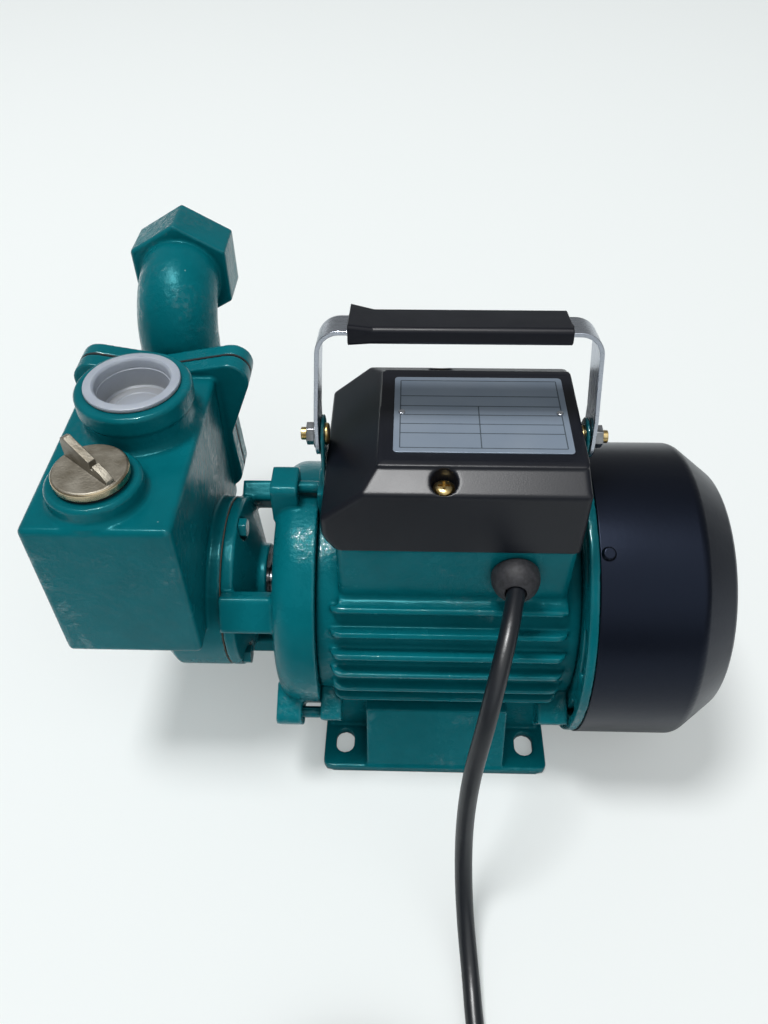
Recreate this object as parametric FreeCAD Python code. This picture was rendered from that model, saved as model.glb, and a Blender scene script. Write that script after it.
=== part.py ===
import FreeCAD, Part
import math
import os

# Surface water pump: a self-priming peripheral pump head on an air-cooled motor.
# Millimetres. +X runs along the shaft towards the fan, +Y away from the viewer, +Z up.
# The origin is on the underside of the foot, below the middle of the motor.

V = FreeCAD.Vector

# Clearances
fixed_fit = 0.1
moving_gap = 0.3
running_fit = 0.04

# Shaft line
shaft_height = 71.0
shaft_left = -108.0
shaft_right = 90.0
impeller_seat_r = 5.0
journal_r = 6.0
core_seat_r = 8.0
fan_seat_r = 5.5

# Bearings, both of the small 12 x 32 x 10 size
bearing_outer_r = 16.0
bearing_width = 10.0
race_wall = 3.2
ball_r = 2.97
ball_count = 8
front_bearing_x = -67.0
rear_bearing_x = 45.0

# Motor housing
housing_left = -51.0
housing_right = 55.9
barrel_r = 49.5
barrel_wall = 4.0
fin_tip_r = 55.0
fin_thickness = 2.5
fin_left = -45.0
fin_right = 50.5
fin_top_angle = 37.0
fin_pitch_angle = 11.0
fin_count = 6
fin_corner_r = 4.5

# Terminal pedestal on top of the housing
pedestal_left = -41.6
pedestal_right = 50.0
pedestal_half_width = 38.0
pedestal_top = 133.7
pedestal_wall = 4.0
pedestal_skirt_z = 105.5
pedestal_floor_z = 122.0

# Foot
plate_half_length = 52.2
plate_half_width = 56.7
plate_thickness = 4.0
plate_corner_r = 4.0
slot_half_spacing_x = 42.5
slot_half_spacing_y = 43.0
slot_width = 8.5
slot_length = 12.0
web_half_length = 31.6
web_base_half_width = 55.5
web_top_half_width = 46.0
web_top_z = 36.0
saddle_half_length = 49.5
saddle_half_width = 34.0

# Tie screws between shields and housing
lug_angles = (90.0, 210.0, 330.0)
lug_reach_r = 64.5
housing_lug_reach_r = 62.5
lug_half_width = 8.0
tie_screw_r = 2.5
tie_screw_pitch_r = 59.0
tie_head_r = 4.2
tie_head_length = 4.0
front_lug_left = -70.0
front_lug_right = -59.0
housing_lug_length = 9.0
rear_lug_left = 43.0

# Stator and rotor
stator_half_length = 28.0
stator_bore_r = 26.5
slot_count = 24
winding_inner_r = 29.0
winding_outer_r = 43.0
winding_reach = 43.5
air_gap = 0.4
end_ring_length = 6.0
end_ring_inner_r = 15.0

# Lantern: pump cover, seal hub, three arms and front end shield in one casting
shield_r = 55.0
shield_left = -69.3
shield_corner_r = 10.0
shield_wall = 5.0
spigot_length = 6.0
hub_r = 21.0
cover_face = -92.0
cover_rim_right = -87.0
cover_r = 38.5
cone_right = -80.0
seal_hub_r = 17.0
seal_hub_right = -76.5
arm_angles = (30.0, 150.0, 270.0)
arm_centre_r = 41.0
arm_width = 16.0
arm_depth = 10.0
arm_left = -91.0
casing_screw_angles = (90.0, 210.0, 330.0)
casing_screw_pitch_r = 34.0
casing_screw_r = 2.5
casing_screw_head_r = 4.5
casing_screw_head_length = 3.5
casing_screw_depth = 10.0

# Mechanical seal and slinger
seal_bore_r = 12.2
seal_pocket_right = -79.5
seal_seat_width = 5.5
seal_throat_r = 7.0
slinger_r = 13.0
slinger_width = 2.4
slinger_x = -74.4

# Pump casing and tank
gasket_thickness = 0.4
disc_left = -120.0
disc_chamfer = 5.0
tank_left = -154.0
tank_right = -98.1
tank_half_width = 49.1
tank_bottom = 81.0
tank_top = 152.7
tank_wall = 4.5
tank_edge_r = 2.5
divider_y = 24.5
divider_wall = 2.5

# Impeller and its chamber
impeller_r = 26.0
impeller_width = 10.0
impeller_side_gap = 0.5
vane_count = 30
vane_root_r = 21.0
vane_pocket_width = 3.4
vane_web = 1.6
channel_r = 29.5
channel_depth = 3.0
stripper_half_angle = 30.0
port_x = -106.5
delivery_port_r = 3.5
delivery_port_y = -17.0
suction_port_r = 3.0
key_size = 3.0

# Outlet boss on the tank and its push-in cap
outlet_x = -123.2
outlet_y = 15.2
outlet_rim_z = 170.0
outlet_boss_r = 23.2
outlet_waist_r = 21.6
outlet_bore_r = 15.9
outlet_bore_floor = 154.5
outlet_drain_r = 9.0
cap_flange_r = 19.0
cap_flange_thickness = 1.8
cap_wall = 1.3
cap_depth = 12.5

# Priming boss and plug
priming_x = -129.3
priming_y = -29.0
priming_rim_z = 160.3
priming_boss_r = 18.0
priming_bore_r = 12.05
plug_disc_r = 14.2
plug_disc_thickness = 3.6
plug_shank_length = 9.0
plug_gasket_thickness = 1.2
wing_length = 26.0
wing_thickness = 3.2
wing_height = 10.0
wing_low_height = 5.0
wing_notch_width = 1.6
wing_notch_depth = 2.5
wing_turn = -39.0

# Inlet flange, check valve and elbow
inlet_x = -122.0
inlet_flange_z = 126.0
flange_face_y = 53.0
tank_flange_front_y = 44.0
flange_disc_r = 27.0
top_ear_x = 29.5
top_ear_z = 150.3
bottom_ear_x = 20.0
bottom_ear_z = 97.0
ear_r = 8.6
inlet_gasket_thickness = 1.0
elbow_flange_thickness = 7.5
inlet_bore_r = 13.0
pipe_r = 18.2
hex_near_y = 104.4
hex_far_y = 127.2
hex_z = 166.5
hex_across_flats = 44.0
hex_edge_r = 1.2
inlet_thread_r = 15.9
inlet_thread_length = 16.0
flange_bolt_r = 3.0
flange_bolt_head_r = 5.5
flange_bolt_depth = 6.0
flap_r = 15.0
flap_thickness = 3.0
flap_pin_r = 1.2
flap_weight_r = 9.0
flap_weight_thickness = 2.0

# Rear end shield, fan and fan cover
rear_flange_r = 64.5
rear_flange_right = 59.7
cover_tab_right = 66.0
cover_tab_half_width = 7.0
cover_tab_inner_r = 57.0
cover_skin = 1.3
window_count = 9
window_inner_r = 56.0
window_outer_r = 60.5
window_angle = 22.0
fan_left = 72.0
fan_width = 17.0
fan_hub_r = 9.5
fan_tip_r = 52.0
fan_blade_count = 8
fan_blade_thickness = 2.0
fan_plate_thickness = 2.0
fan_cover_r = 65.0
fan_cover_right = 117.0
fan_cover_bevel_length = 16.5
fan_cover_bevel_depth = 13.0
fan_cover_blend_r = 6.0
grille_rings = 5
grille_first_r = 8.0
grille_ring_pitch = 7.8
grille_slot_width = 4.2
grille_spokes = 6
grille_spoke_width = 4.0
cover_screw_angles = (60.0, 120.0, 270.0)
cover_screw_x = 63.0

# Terminal cover
lid_left = -46.3
lid_right = 50.7
lid_foot_left = -41.6
lid_foot_rise = 8.3
lid_shoulder_z = 150.0
lid_slope_top_x = -24.0
lid_half_width = 39.0
lid_band_z = 162.5
lid_top = 168.6
lid_top_half_width = 26.5
lid_wall = 2.5
lid_edge_r = 2.0
lid_screw_x = -1.6
lid_screw_y = 33.5
lid_screw_seat_z = 160.0
lid_recess_r = 4.7
lid_screw_r = 2.0
lid_screw_head_r = 3.3
lid_screw_head_length = 2.6

# Nameplate
plate_left = -20.0
plate_right = 45.4
nameplate_half_width = 22.7
nameplate_thickness = 0.6
rivet_r = 1.3
rivet_inset = 3.0

# Carrying handle
pivot_z = 158.5
handle_ear_thickness = 1.6
handle_ear_half_width = 7.5
strap_thickness = 1.6
strap_width = 16.0
strap_length = 44.8
strap_straight_length = 10.0
strap_draw_in = 1.9
strap_corner_r = 9.0
strap_lean = 11.2
handle_bolt_r = 2.5
handle_bolt_head_r = 4.3
handle_bolt_head_length = 1.6
handle_nut_r = 4.5
handle_nut_length = 3.0
handle_washer_r = 5.5
handle_washer_thickness = 0.7
grip_left = -36.2
grip_right = 42.5
grip_width = 20.5
grip_height = 6.4
grip_above_strap = 2.1
grip_flare_length = 9.0
grip_flare = 1.4

# Electrical parts
capacitor_r = 14.5
capacitor_length = 50.0
capacitor_left = -30.0
terminal_block_size = (20.0, 30.0, 12.0)
terminal_block_x = 33.0
terminal_block_y = -8.0
grommet_x = 27.3
grommet_y = -40.5
grommet_z = 121.3
grommet_r = 9.4
grommet_neck_r = 6.4
grommet_lip_r = 7.4
cord_r = 3.5

# Cord route, from the grommet along the floor to the coil
cord_points = (
    (27.0, -46.8, 121.9),
    (24.8, -58.0, 121.8),
    (21.7, -70.0, 118.5),
    (18.0, -82.0, 110.5),
    (14.4, -92.0, 97.5),
    (10.8, -99.0, 79.0),
    (9.5, -103.6, 58.0),
    (9.4, -109.0, 40.0),
    (9.9, -118.0, 25.0),
    (11.1, -130.0, 12.5),
    (12.8, -146.0, 5.2),
    (13.6, -162.0, 3.6),
    (15.6, -180.0, 3.5),
    (16.5, -196.0, 3.5),
)

# Put-away coil of the unseen length, and the plug beside it
coil_x = -29.0
coil_y = -216.0
coil_inner_turn_r = 31.5
coil_columns = 3
coil_layers = 2
tail_points = (
    (-27.0, -261.4, 10.5),
    (-42.0, -261.9, 10.6),
    (-58.0, -262.6, 11.8),
    (-72.0, -263.0, 12.8),
)
plug_axis_z = 13.0
plug_relief_length = 24.0
plug_body_length = 33.0
plug_half_width = 17.5
plug_half_height = 12.5
plug_pin_r = 2.4
plug_pin_length = 19.0
plug_pin_half_spacing = 9.5


def box(x0, x1, y0, y1, z0, z1):
    return Part.makeBox(x1 - x0, y1 - y0, z1 - z0, V(x0, y0, z0))


def rod(x0, x1, radius, y=0.0, z=shaft_height):
    return Part.makeCylinder(radius, x1 - x0, V(x0, y, z), V(1, 0, 0))


def rod_y(y0, y1, radius, x, z):
    return Part.makeCylinder(radius, y1 - y0, V(x, y0, z), V(0, 1, 0))


def rod_z(z0, z1, radius, x, y):
    return Part.makeCylinder(radius, z1 - z0, V(x, y, z0), V(0, 0, 1))


def ring(x0, x1, outer_r, inner_r):
    return rod(x0, x1, outer_r).cut(rod(x0 - 1, x1 + 1, inner_r))


def flat(points):
    return Part.Face(Part.makePolygon([V(*p) for p in points] + [V(*points[0])]))


def turned(profile, angle=360.0, start=0.0):
    """Revolves (x, radius) points about the shaft line."""
    face = flat([(x, 0.0, shaft_height + r) for x, r in profile])
    face.rotate(V(0, 0, shaft_height), V(1, 0, 0), start)
    return face.revolve(V(0, 0, shaft_height), V(1, 0, 0), angle)


def turned_z(profile, x, y):
    """Revolves (radius, z) points about an upright line."""
    face = flat([(x + r, y, z) for r, z in profile])
    return face.revolve(V(x, y, 0), V(0, 0, 1), 360)


def about_shaft(shape, angle):
    """Turns a shape drawn at the top of the shaft circle; 0 is the viewer's side, 90 the top."""
    copy = shape.copy()
    copy.rotate(V(0, 0, shaft_height), V(1, 0, 0), 90 - angle)
    return copy


def on_circle(angle, radius):
    """The (y, z) of a point round the shaft."""
    a = math.radians(angle)
    return -radius * math.cos(a), shaft_height + radius * math.sin(a)


def fuse(shapes):
    return shapes[0].fuse(shapes[1:]).removeSplitter()


def hexagon(x0, x1, across_r, y, z):
    """A hexagonal head or nut lying along X."""
    corners = []
    for k in range(6):
        a = math.radians(60 * k)
        corners.append((x0, y + across_r * math.cos(a), z + across_r * math.sin(a)))
    return flat(corners).extrude(V(x1 - x0, 0, 0))


def rounded(shape, radius, wanted):
    """Fillets the edges whose middle passes the test."""
    edges = [e for e in shape.Edges if wanted(e)]
    return shape.makeFillet(radius, edges) if edges else shape


def middle(edge):
    return edge.valueAt((edge.FirstParameter + edge.LastParameter) / 2)


def save(name, shape):
    shape = Part.Shape(shape)
    shape.exportStep(os.path.join("parts", name + ".step"))
    print(f"{name:24s} solids {len(shape.Solids)} volume {shape.Volume:10.1f} valid {shape.isValid()}")


def bundle(shapes):
    return Part.makeCompound(shapes)


# Places that several sections share

casing_face = cover_face - gasket_thickness
impeller_right = cover_face - impeller_side_gap
impeller_left = impeller_right - impeller_width
chamber_left = impeller_left - impeller_side_gap
housing_bore_r = barrel_r - barrel_wall
front_bearing_right = front_bearing_x + bearing_width
rear_bearing_right = rear_bearing_x + bearing_width
tank_flange_back_y = flange_face_y - inlet_gasket_thickness
tank_inner_back_y = tank_half_width - tank_wall
ear_centres = [
    (inlet_x + side * x, z)
    for side in (-1, 1)
    for x, z in ((top_ear_x, top_ear_z), (bottom_ear_x, bottom_ear_z))
]
knuckle_r = flap_pin_r + 1.4
flap_pin_y = tank_inner_back_y - moving_gap - knuckle_r
flap_pin_z = inlet_flange_z + flap_r + 2.0
left_ear_outer = lid_left - moving_gap - handle_ear_thickness
right_ear_outer = lid_right + moving_gap + handle_bolt_head_length + handle_ear_thickness
strap_left = left_ear_outer - fixed_fit - strap_thickness
strap_right = right_ear_outer + fixed_fit + strap_thickness
channel_angle = 360.0 - 2 * stripper_half_angle


# Pump casing with its tank, cast in one piece

def link(x0, z0, r0, x1, z1, r1, y0, y1):
    """Two discs in the XZ plane joined by their outer tangents, as a plate."""
    distance = math.hypot(x1 - x0, z1 - z0)
    along = math.atan2(z1 - z0, x1 - x0)
    opening = math.acos((r0 - r1) / distance)
    corners = []
    for side in (1, -1):
        a = along + side * opening
        pair = [
            (x0 + r0 * math.cos(a), y0, z0 + r0 * math.sin(a)),
            (x1 + r1 * math.cos(a), y0, z1 + r1 * math.sin(a)),
        ]
        corners += pair if side == 1 else pair[::-1]
    plate = flat(corners).extrude(V(0, y1 - y0, 0))
    return plate.fuse(rod_y(y0, y1, r1, x1, z1))


def flange_plate(y0, y1):
    plates = [rod_y(y0, y1, flange_disc_r, inlet_x, inlet_flange_z)]
    for x, z in ear_centres:
        plates.append(link(inlet_x, inlet_flange_z, flange_disc_r, x, z, ear_r, y0, y1))
    return fuse(plates)


def boss(points, x, y):
    """A turned boss standing on the tank top: (radius, height above the tank top) points."""
    profile = [(0, tank_top - tank_wall)]
    profile += [(r, tank_top + h) for r, h in points]
    profile.append((0, tank_top + points[-1][1]))
    return turned_z(profile, x, y)


def pump_body():
    tank = box(tank_left, tank_right, -tank_half_width, tank_half_width, tank_bottom, tank_top)
    tank = rounded(tank, tank_edge_r, lambda e: True)
    room_left = tank_left + tank_wall
    room_right = tank_right - tank_wall
    room_floor = tank_bottom + tank_wall
    room_top = tank_top - tank_wall
    inside = box(room_left, room_right, -tank_inner_back_y, tank_inner_back_y, room_floor, room_top)
    divider = box(
        room_left - 1, room_right + 1, divider_y, divider_y + divider_wall, room_floor - 1, room_top + 1
    )
    disc = turned(
        [
            (disc_left, 0),
            (disc_left, cover_r - disc_chamfer),
            (disc_left + disc_chamfer, cover_r),
            (casing_face, cover_r),
            (casing_face, 0),
        ]
    )
    outlet_height = outlet_rim_z - tank_top
    outlet_boss = boss(
        [
            (outlet_waist_r + 2.6, -tank_wall),
            (outlet_waist_r + 2.6, 0),
            (outlet_waist_r + 0.6, 1.6),
            (outlet_waist_r, 3.8),
            (outlet_waist_r, outlet_height - 10.0),
            (outlet_boss_r, outlet_height - 7.5),
            (outlet_boss_r, outlet_height - 1.2),
            (outlet_boss_r - 1.2, outlet_height),
        ],
        outlet_x,
        outlet_y,
    )
    priming_height = priming_rim_z - tank_top
    priming_boss = boss(
        [
            (priming_boss_r + 1.8, -tank_wall),
            (priming_boss_r + 1.8, 0),
            (priming_boss_r, 1.8),
            (priming_boss_r, priming_height - 1.2),
            (priming_boss_r - 1.2, priming_height),
        ],
        priming_x,
        priming_y,
    )
    pin_lugs = []
    for x in (inlet_x - 9.0, inlet_x + 6.0):
        lug = box(x, x + 3.0, flap_pin_y - knuckle_r, tank_inner_back_y + 1, flap_pin_z - 3, flap_pin_z + 3)
        pin_lugs.append(lug)
    shell = fuse([tank, flange_plate(tank_flange_front_y, tank_flange_back_y)]).cut(inside)
    body = fuse([shell, divider, disc, outlet_boss, priming_boss] + pin_lugs)
    hole_y = tank_flange_back_y + 1
    disc_top = shaft_height + cover_r + 2
    suction_port_y = divider_y + divider_wall + suction_port_r + 0.5
    cuts = [
        rod_z(outlet_bore_floor, outlet_rim_z + 1, outlet_bore_r, outlet_x, outlet_y),
        rod_z(room_top - 1, outlet_rim_z, outlet_drain_r, outlet_x, outlet_y),
        rod_z(room_top - 1, priming_rim_z + 1, priming_bore_r, priming_x, priming_y),
        rod_y(tank_inner_back_y - 0.5, hole_y, inlet_bore_r, inlet_x, inlet_flange_z),
        rod(inlet_x - 9.5, inlet_x + 9.5, flap_pin_r + running_fit, flap_pin_y, flap_pin_z),
        turned(
            [
                (chamber_left, 0),
                (chamber_left, impeller_r + moving_gap),
                (casing_face + 1, impeller_r + moving_gap),
                (casing_face + 1, 0),
            ]
        ),
        turned(
            [
                (chamber_left - channel_depth, vane_root_r),
                (chamber_left - channel_depth, channel_r),
                (casing_face + 1, channel_r),
                (casing_face + 1, vane_root_r),
            ],
            channel_angle,
            stripper_half_angle,
        ),
        rod(shaft_left - 1, casing_face, journal_r + 1),
        rod_z(shaft_height + vane_root_r - 5, disc_top, delivery_port_r, port_x, delivery_port_y),
        rod_z(shaft_height + 4, disc_top, suction_port_r, port_x, suction_port_y),
    ]
    for angle in casing_screw_angles:
        y, z = on_circle(angle, casing_screw_pitch_r)
        depth_x = casing_face - casing_screw_depth - 1
        cuts.append(rod(depth_x, casing_face + 1, casing_screw_r + fixed_fit, y, z))
    for x, z in ear_centres:
        cuts.append(
            rod_y(tank_flange_back_y - flange_bolt_depth - 0.5, hole_y, flange_bolt_r + fixed_fit, x, z)
        )
    return body.cut(cuts)


# Push-in cap of the outlet

def outlet_cap():
    outer_r = outlet_bore_r - moving_gap
    floor_z = outlet_rim_z - cap_depth
    flange_top = outlet_rim_z + cap_flange_thickness + fixed_fit
    return turned_z(
        [
            (0, floor_z),
            (outer_r - 1.0, floor_z),
            (outer_r, floor_z + 1.0),
            (outer_r, outlet_rim_z + fixed_fit),
            (cap_flange_r, outlet_rim_z + fixed_fit),
            (cap_flange_r, flange_top - 0.6),
            (cap_flange_r - 0.6, flange_top),
            (outer_r - cap_wall + 0.4, flange_top),
            (outer_r - cap_wall, flange_top - 0.4),
            (outer_r - cap_wall, floor_z + cap_wall),
            (0, floor_z + cap_wall),
        ],
        outlet_x,
        outlet_y,
    )


# Priming plug with a wing to turn it by, and its sealing ring

gasket_top = priming_rim_z + plug_gasket_thickness


def plug_gasket():
    outer = rod_z(priming_rim_z, gasket_top, plug_disc_r - 0.7, priming_x, priming_y)
    return outer.cut(rod_z(priming_rim_z - 1, gasket_top + 1, priming_bore_r, priming_x, priming_y))


def priming_plug():
    shank_r = priming_bore_r - moving_gap
    disc_top = gasket_top + plug_disc_thickness
    turned_part = turned_z(
        [
            (0, gasket_top - plug_shank_length),
            (shank_r - 1.0, gasket_top - plug_shank_length),
            (shank_r, gasket_top - plug_shank_length + 1.0),
            (shank_r, gasket_top),
            (plug_disc_r, gasket_top),
            (plug_disc_r, disc_top - 0.8),
            (plug_disc_r - 0.8, disc_top),
            (0, disc_top),
        ],
        priming_x,
        priming_y,
    )
    half = wing_length / 2
    notch_x = half * 0.3
    notch_z = disc_top + wing_low_height
    outline = [
        (-half, disc_top - 1),
        (-half, disc_top + wing_height - 3.5),
        (-half + 1.2, disc_top + wing_height - 1.0),
        (-half + 3.6, disc_top + wing_height),
        (-half + 6.5, disc_top + wing_height - 1.2),
        (notch_x, notch_z + 0.8),
        (notch_x, notch_z - wing_notch_depth),
        (notch_x + wing_notch_width, notch_z - wing_notch_depth),
        (notch_x + wing_notch_width, notch_z),
        (half - 3.0, notch_z - 1.4),
        (half, notch_z - 3.6),
        (half, disc_top - 1),
    ]
    wing = flat([(x, -wing_thickness / 2, z) for x, z in outline]).extrude(V(0, wing_thickness, 0))
    wing.rotate(V(0, 0, 0), V(0, 0, 1), wing_turn)
    wing.translate(V(priming_x, priming_y, 0))
    return fuse([turned_part, wing])


# Suction elbow, its gasket, bolts and the check valve behind it

def elbow_path_arcs():
    """Two equal arcs, flange to riser and riser to hexagon, in the YZ plane."""
    y0 = flange_face_y + elbow_flange_thickness
    rise = hex_z - inlet_flange_z
    run = hex_near_y - y0
    half_turn = math.atan2(rise, run)
    bend_r = run / (2 * math.sin(2 * half_turn))
    return y0, math.degrees(2 * half_turn), bend_r


def elbow_bends(radius):
    y0, turn, bend_r = elbow_path_arcs()
    first = Part.Face(Part.Wire(Part.makeCircle(radius, V(inlet_x, y0, inlet_flange_z), V(0, 1, 0))))
    lower = first.revolve(V(inlet_x, y0, inlet_flange_z + bend_r), V(1, 0, 0), turn)
    last = Part.Face(Part.Wire(Part.makeCircle(radius, V(inlet_x, hex_near_y, hex_z), V(0, 1, 0))))
    upper = last.revolve(V(inlet_x, hex_near_y, hex_z - bend_r), V(1, 0, 0), turn)
    return [lower, upper]


def inlet_elbow():
    y0 = flange_face_y + elbow_flange_thickness
    corner_r = hex_across_flats / 2 / math.cos(math.radians(30))
    corners = [
        V(
            inlet_x + corner_r * math.sin(math.radians(60 * k)),
            hex_near_y,
            hex_z + corner_r * math.cos(math.radians(60 * k)),
        )
        for k in range(6)
    ]
    hexagon_end = Part.Face(Part.makePolygon(corners + corners[:1])).extrude(V(0, hex_far_y - hex_near_y, 0))
    hexagon_end = rounded(hexagon_end, hex_edge_r, lambda e: True)
    collar = Part.makeCone(
        pipe_r + 4.0, pipe_r + 1.0, 5.0, V(inlet_x, y0 - 1.0, inlet_flange_z), V(0, 1, 0)
    )
    outer = fuse([flange_plate(flange_face_y, y0), collar, hexagon_end] + elbow_bends(pipe_r))
    thread_y = hex_far_y - inlet_thread_length
    cuts = elbow_bends(inlet_bore_r)
    cuts.append(rod_y(flange_face_y - 1, y0, inlet_bore_r, inlet_x, inlet_flange_z))
    cuts.append(rod_y(hex_near_y, thread_y + 1, inlet_bore_r, inlet_x, hex_z))
    cuts.append(rod_y(thread_y, hex_far_y + 1, inlet_thread_r, inlet_x, hex_z))
    for x, z in ear_centres:
        cuts.append(rod_y(flange_face_y - 1, y0 + 1, flange_bolt_r + moving_gap, x, z))
        cuts.append(rod_y(y0 - 0.8, y0 + 20, flange_bolt_head_r + 1.2, x, z))
    return outer.cut(cuts)


def inlet_gasket():
    plate = flange_plate(tank_flange_back_y, flange_face_y)
    holes = [rod_y(tank_flange_back_y - 1, flange_face_y + 1, inlet_bore_r, inlet_x, inlet_flange_z)]
    for x, z in ear_centres:
        holes.append(rod_y(tank_flange_back_y - 1, flange_face_y + 1, flange_bolt_r + moving_gap, x, z))
    return plate.cut(holes)


def inlet_bolts():
    seat_y = flange_face_y + elbow_flange_thickness - 0.8
    bolts = []
    for x, z in ear_centres:
        head = hexagon(0, 4.0, flange_bolt_head_r, 0, 0)
        head.rotate(V(0, 0, 0), V(0, 0, 1), 90)
        head.translate(V(x, seat_y, z))
        shank = rod_y(tank_flange_back_y - flange_bolt_depth, seat_y + 1, flange_bolt_r, x, z)
        bolts.append(fuse([head, shank]))
    return bundle(bolts)


def check_valve_flap():
    back_y = tank_inner_back_y - moving_gap
    disc = rod_y(back_y - flap_thickness, back_y, flap_r, inlet_x, inlet_flange_z)
    tab = box(inlet_x - 5.5, inlet_x + 5.5, back_y - flap_thickness, back_y, inlet_flange_z, flap_pin_z)
    knuckle = rod(inlet_x - 5.5, inlet_x + 5.5, knuckle_r, flap_pin_y, flap_pin_z)
    bore = rod(inlet_x - 6, inlet_x + 6, flap_pin_r + running_fit, flap_pin_y, flap_pin_z)
    return fuse([disc, tab, knuckle]).cut(bore)


def valve_weight():
    back_y = tank_inner_back_y - moving_gap - flap_thickness
    return rod_y(back_y - flap_weight_thickness, back_y, flap_weight_r, inlet_x, inlet_flange_z)


def flap_pin():
    return rod(inlet_x - 8.5, inlet_x + 8.5, flap_pin_r, flap_pin_y, flap_pin_z)


# Lantern: pump cover, seal hub, arms and front end shield in one casting

def lantern_bracket():
    cover = turned(
        [
            (cover_face, 0),
            (cover_face, cover_r),
            (cover_rim_right, cover_r),
            (cone_right, seal_hub_r),
            (seal_hub_right, seal_hub_r),
            (seal_hub_right, 0),
        ]
    )
    shield = rod(shield_left, housing_left, shield_r)
    shield = rounded(shield, shield_corner_r, lambda e: abs(middle(e).x - shield_left) < 0.01)
    spigot = rod(housing_left - 1, housing_left + spigot_length, housing_bore_r - fixed_fit)
    pieces = [cover, shield, spigot]
    for angle in arm_angles:
        arm = box(
            arm_left,
            shield_left + 4,
            -arm_width / 2,
            arm_width / 2,
            shaft_height + arm_centre_r - arm_depth / 2,
            shaft_height + arm_centre_r + arm_depth / 2,
        )
        arm = rounded(arm, 2.0, lambda e: abs(middle(e).x - (arm_left + shield_left + 4) / 2) < 0.01)
        pieces.append(about_shaft(arm, angle))
    lug_floor_z = shaft_height + shield_r - 8.0
    for angle in lug_angles:
        lug = box(
            front_lug_left,
            front_lug_right,
            -lug_half_width,
            lug_half_width,
            lug_floor_z,
            shaft_height + lug_reach_r,
        )
        lug = rounded(lug, 3.0, lambda e: middle(e).z > shaft_height + lug_reach_r - 0.1
                      and abs(middle(e).y) > 1)
        pieces.append(about_shaft(lug, angle))
    body = fuse(pieces)
    shield_inner_x = shield_left + shield_wall
    hollow_r = housing_bore_r - 3.0
    hollow = rod(shield_inner_x, housing_left + spigot_length + 1, hollow_r)
    hub = rod(shield_inner_x - 1, front_bearing_right + 1.5, hub_r)
    body = body.cut(hollow).fuse(hub)
    cuts = [
        rod(cover_face - 1, seal_pocket_right, seal_bore_r),
        rod(cover_face, seal_hub_right + 1, seal_throat_r),
        rod(shield_left - 1, front_bearing_x, seal_throat_r),
        rod(front_bearing_x, front_bearing_right + 3, bearing_outer_r + fixed_fit),
        turned(
            [
                (cover_face - 1, vane_root_r),
                (cover_face - 1, channel_r),
                (cover_face + channel_depth, channel_r),
                (cover_face + channel_depth, vane_root_r),
            ],
            channel_angle,
            stripper_half_angle,
        ),
    ]
    for angle in casing_screw_angles:
        y, z = on_circle(angle, casing_screw_pitch_r)
        cuts.append(rod(cover_face - 1, shield_left - 6, casing_screw_r + fixed_fit, y, z))
        cuts.append(rod(cover_rim_right, shield_left - 6, casing_screw_head_r + 0.6, y, z))
    for angle in lug_angles:
        y, z = on_circle(angle, tie_screw_pitch_r)
        cuts.append(rod(front_lug_left - 1, front_lug_right + 1, tie_screw_r + fixed_fit, y, z))
        cuts.append(rod(front_lug_left - 1, front_lug_left + tie_head_length, tie_head_r + 0.4, y, z))
    return body.cut(cuts)


def casing_gasket():
    outer = ring(casing_face, cover_face, cover_r - 0.2, channel_r + 0.6)
    holes = []
    for angle in casing_screw_angles:
        y, z = on_circle(angle, casing_screw_pitch_r)
        holes.append(rod(casing_face - 1, cover_face + 1, casing_screw_r + fixed_fit, y, z))
    return outer.cut(holes)


def hex_screw(x_seat, head_length, head_r, shank_to, shank_r, y, z):
    """A hexagon screw whose head stands on x_seat and whose shank ends at shank_to."""
    head = hexagon(min(x_seat, x_seat + head_length), max(x_seat, x_seat + head_length), head_r, y, z)
    low = min(shank_to, x_seat)
    high = max(shank_to, x_seat)
    return fuse([head, rod(low - 0.5 * (low == x_seat), high + 0.5 * (high == x_seat), shank_r, y, z)])


def casing_screws():
    screws = []
    for angle in casing_screw_angles:
        y, z = on_circle(angle, casing_screw_pitch_r)
        end_x = casing_face - casing_screw_depth
        screws.append(
            hex_screw(
                cover_rim_right, casing_screw_head_length, casing_screw_head_r, end_x, casing_screw_r, y, z
            )
        )
    return bundle(screws)


# Mechanical seal and water slinger

def seal_seat():
    left = seal_pocket_right - seal_seat_width
    return ring(left, seal_pocket_right, seal_bore_r - fixed_fit, seal_throat_r)


def seal_head():
    left = impeller_right
    right = seal_pocket_right - seal_seat_width - 0.05
    return turned(
        [
            (left, journal_r + fixed_fit),
            (left, 9.0),
            (left + 3.0, 9.0),
            (left + 3.0, 11.0),
            (right - 1.5, 11.0),
            (right - 1.5, 9.6),
            (right, 9.6),
            (right, journal_r + fixed_fit),
        ]
    )


def water_slinger():
    return turned(
        [
            (slinger_x, journal_r + fixed_fit),
            (slinger_x, slinger_r),
            (slinger_x + 1.0, slinger_r),
            (slinger_x + 1.4, 9.0),
            (slinger_x + slinger_width, 9.0),
            (slinger_x + slinger_width, journal_r + fixed_fit),
        ]
    )


# Impeller: a disc with a row of vane pockets round each side of its rim

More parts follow.
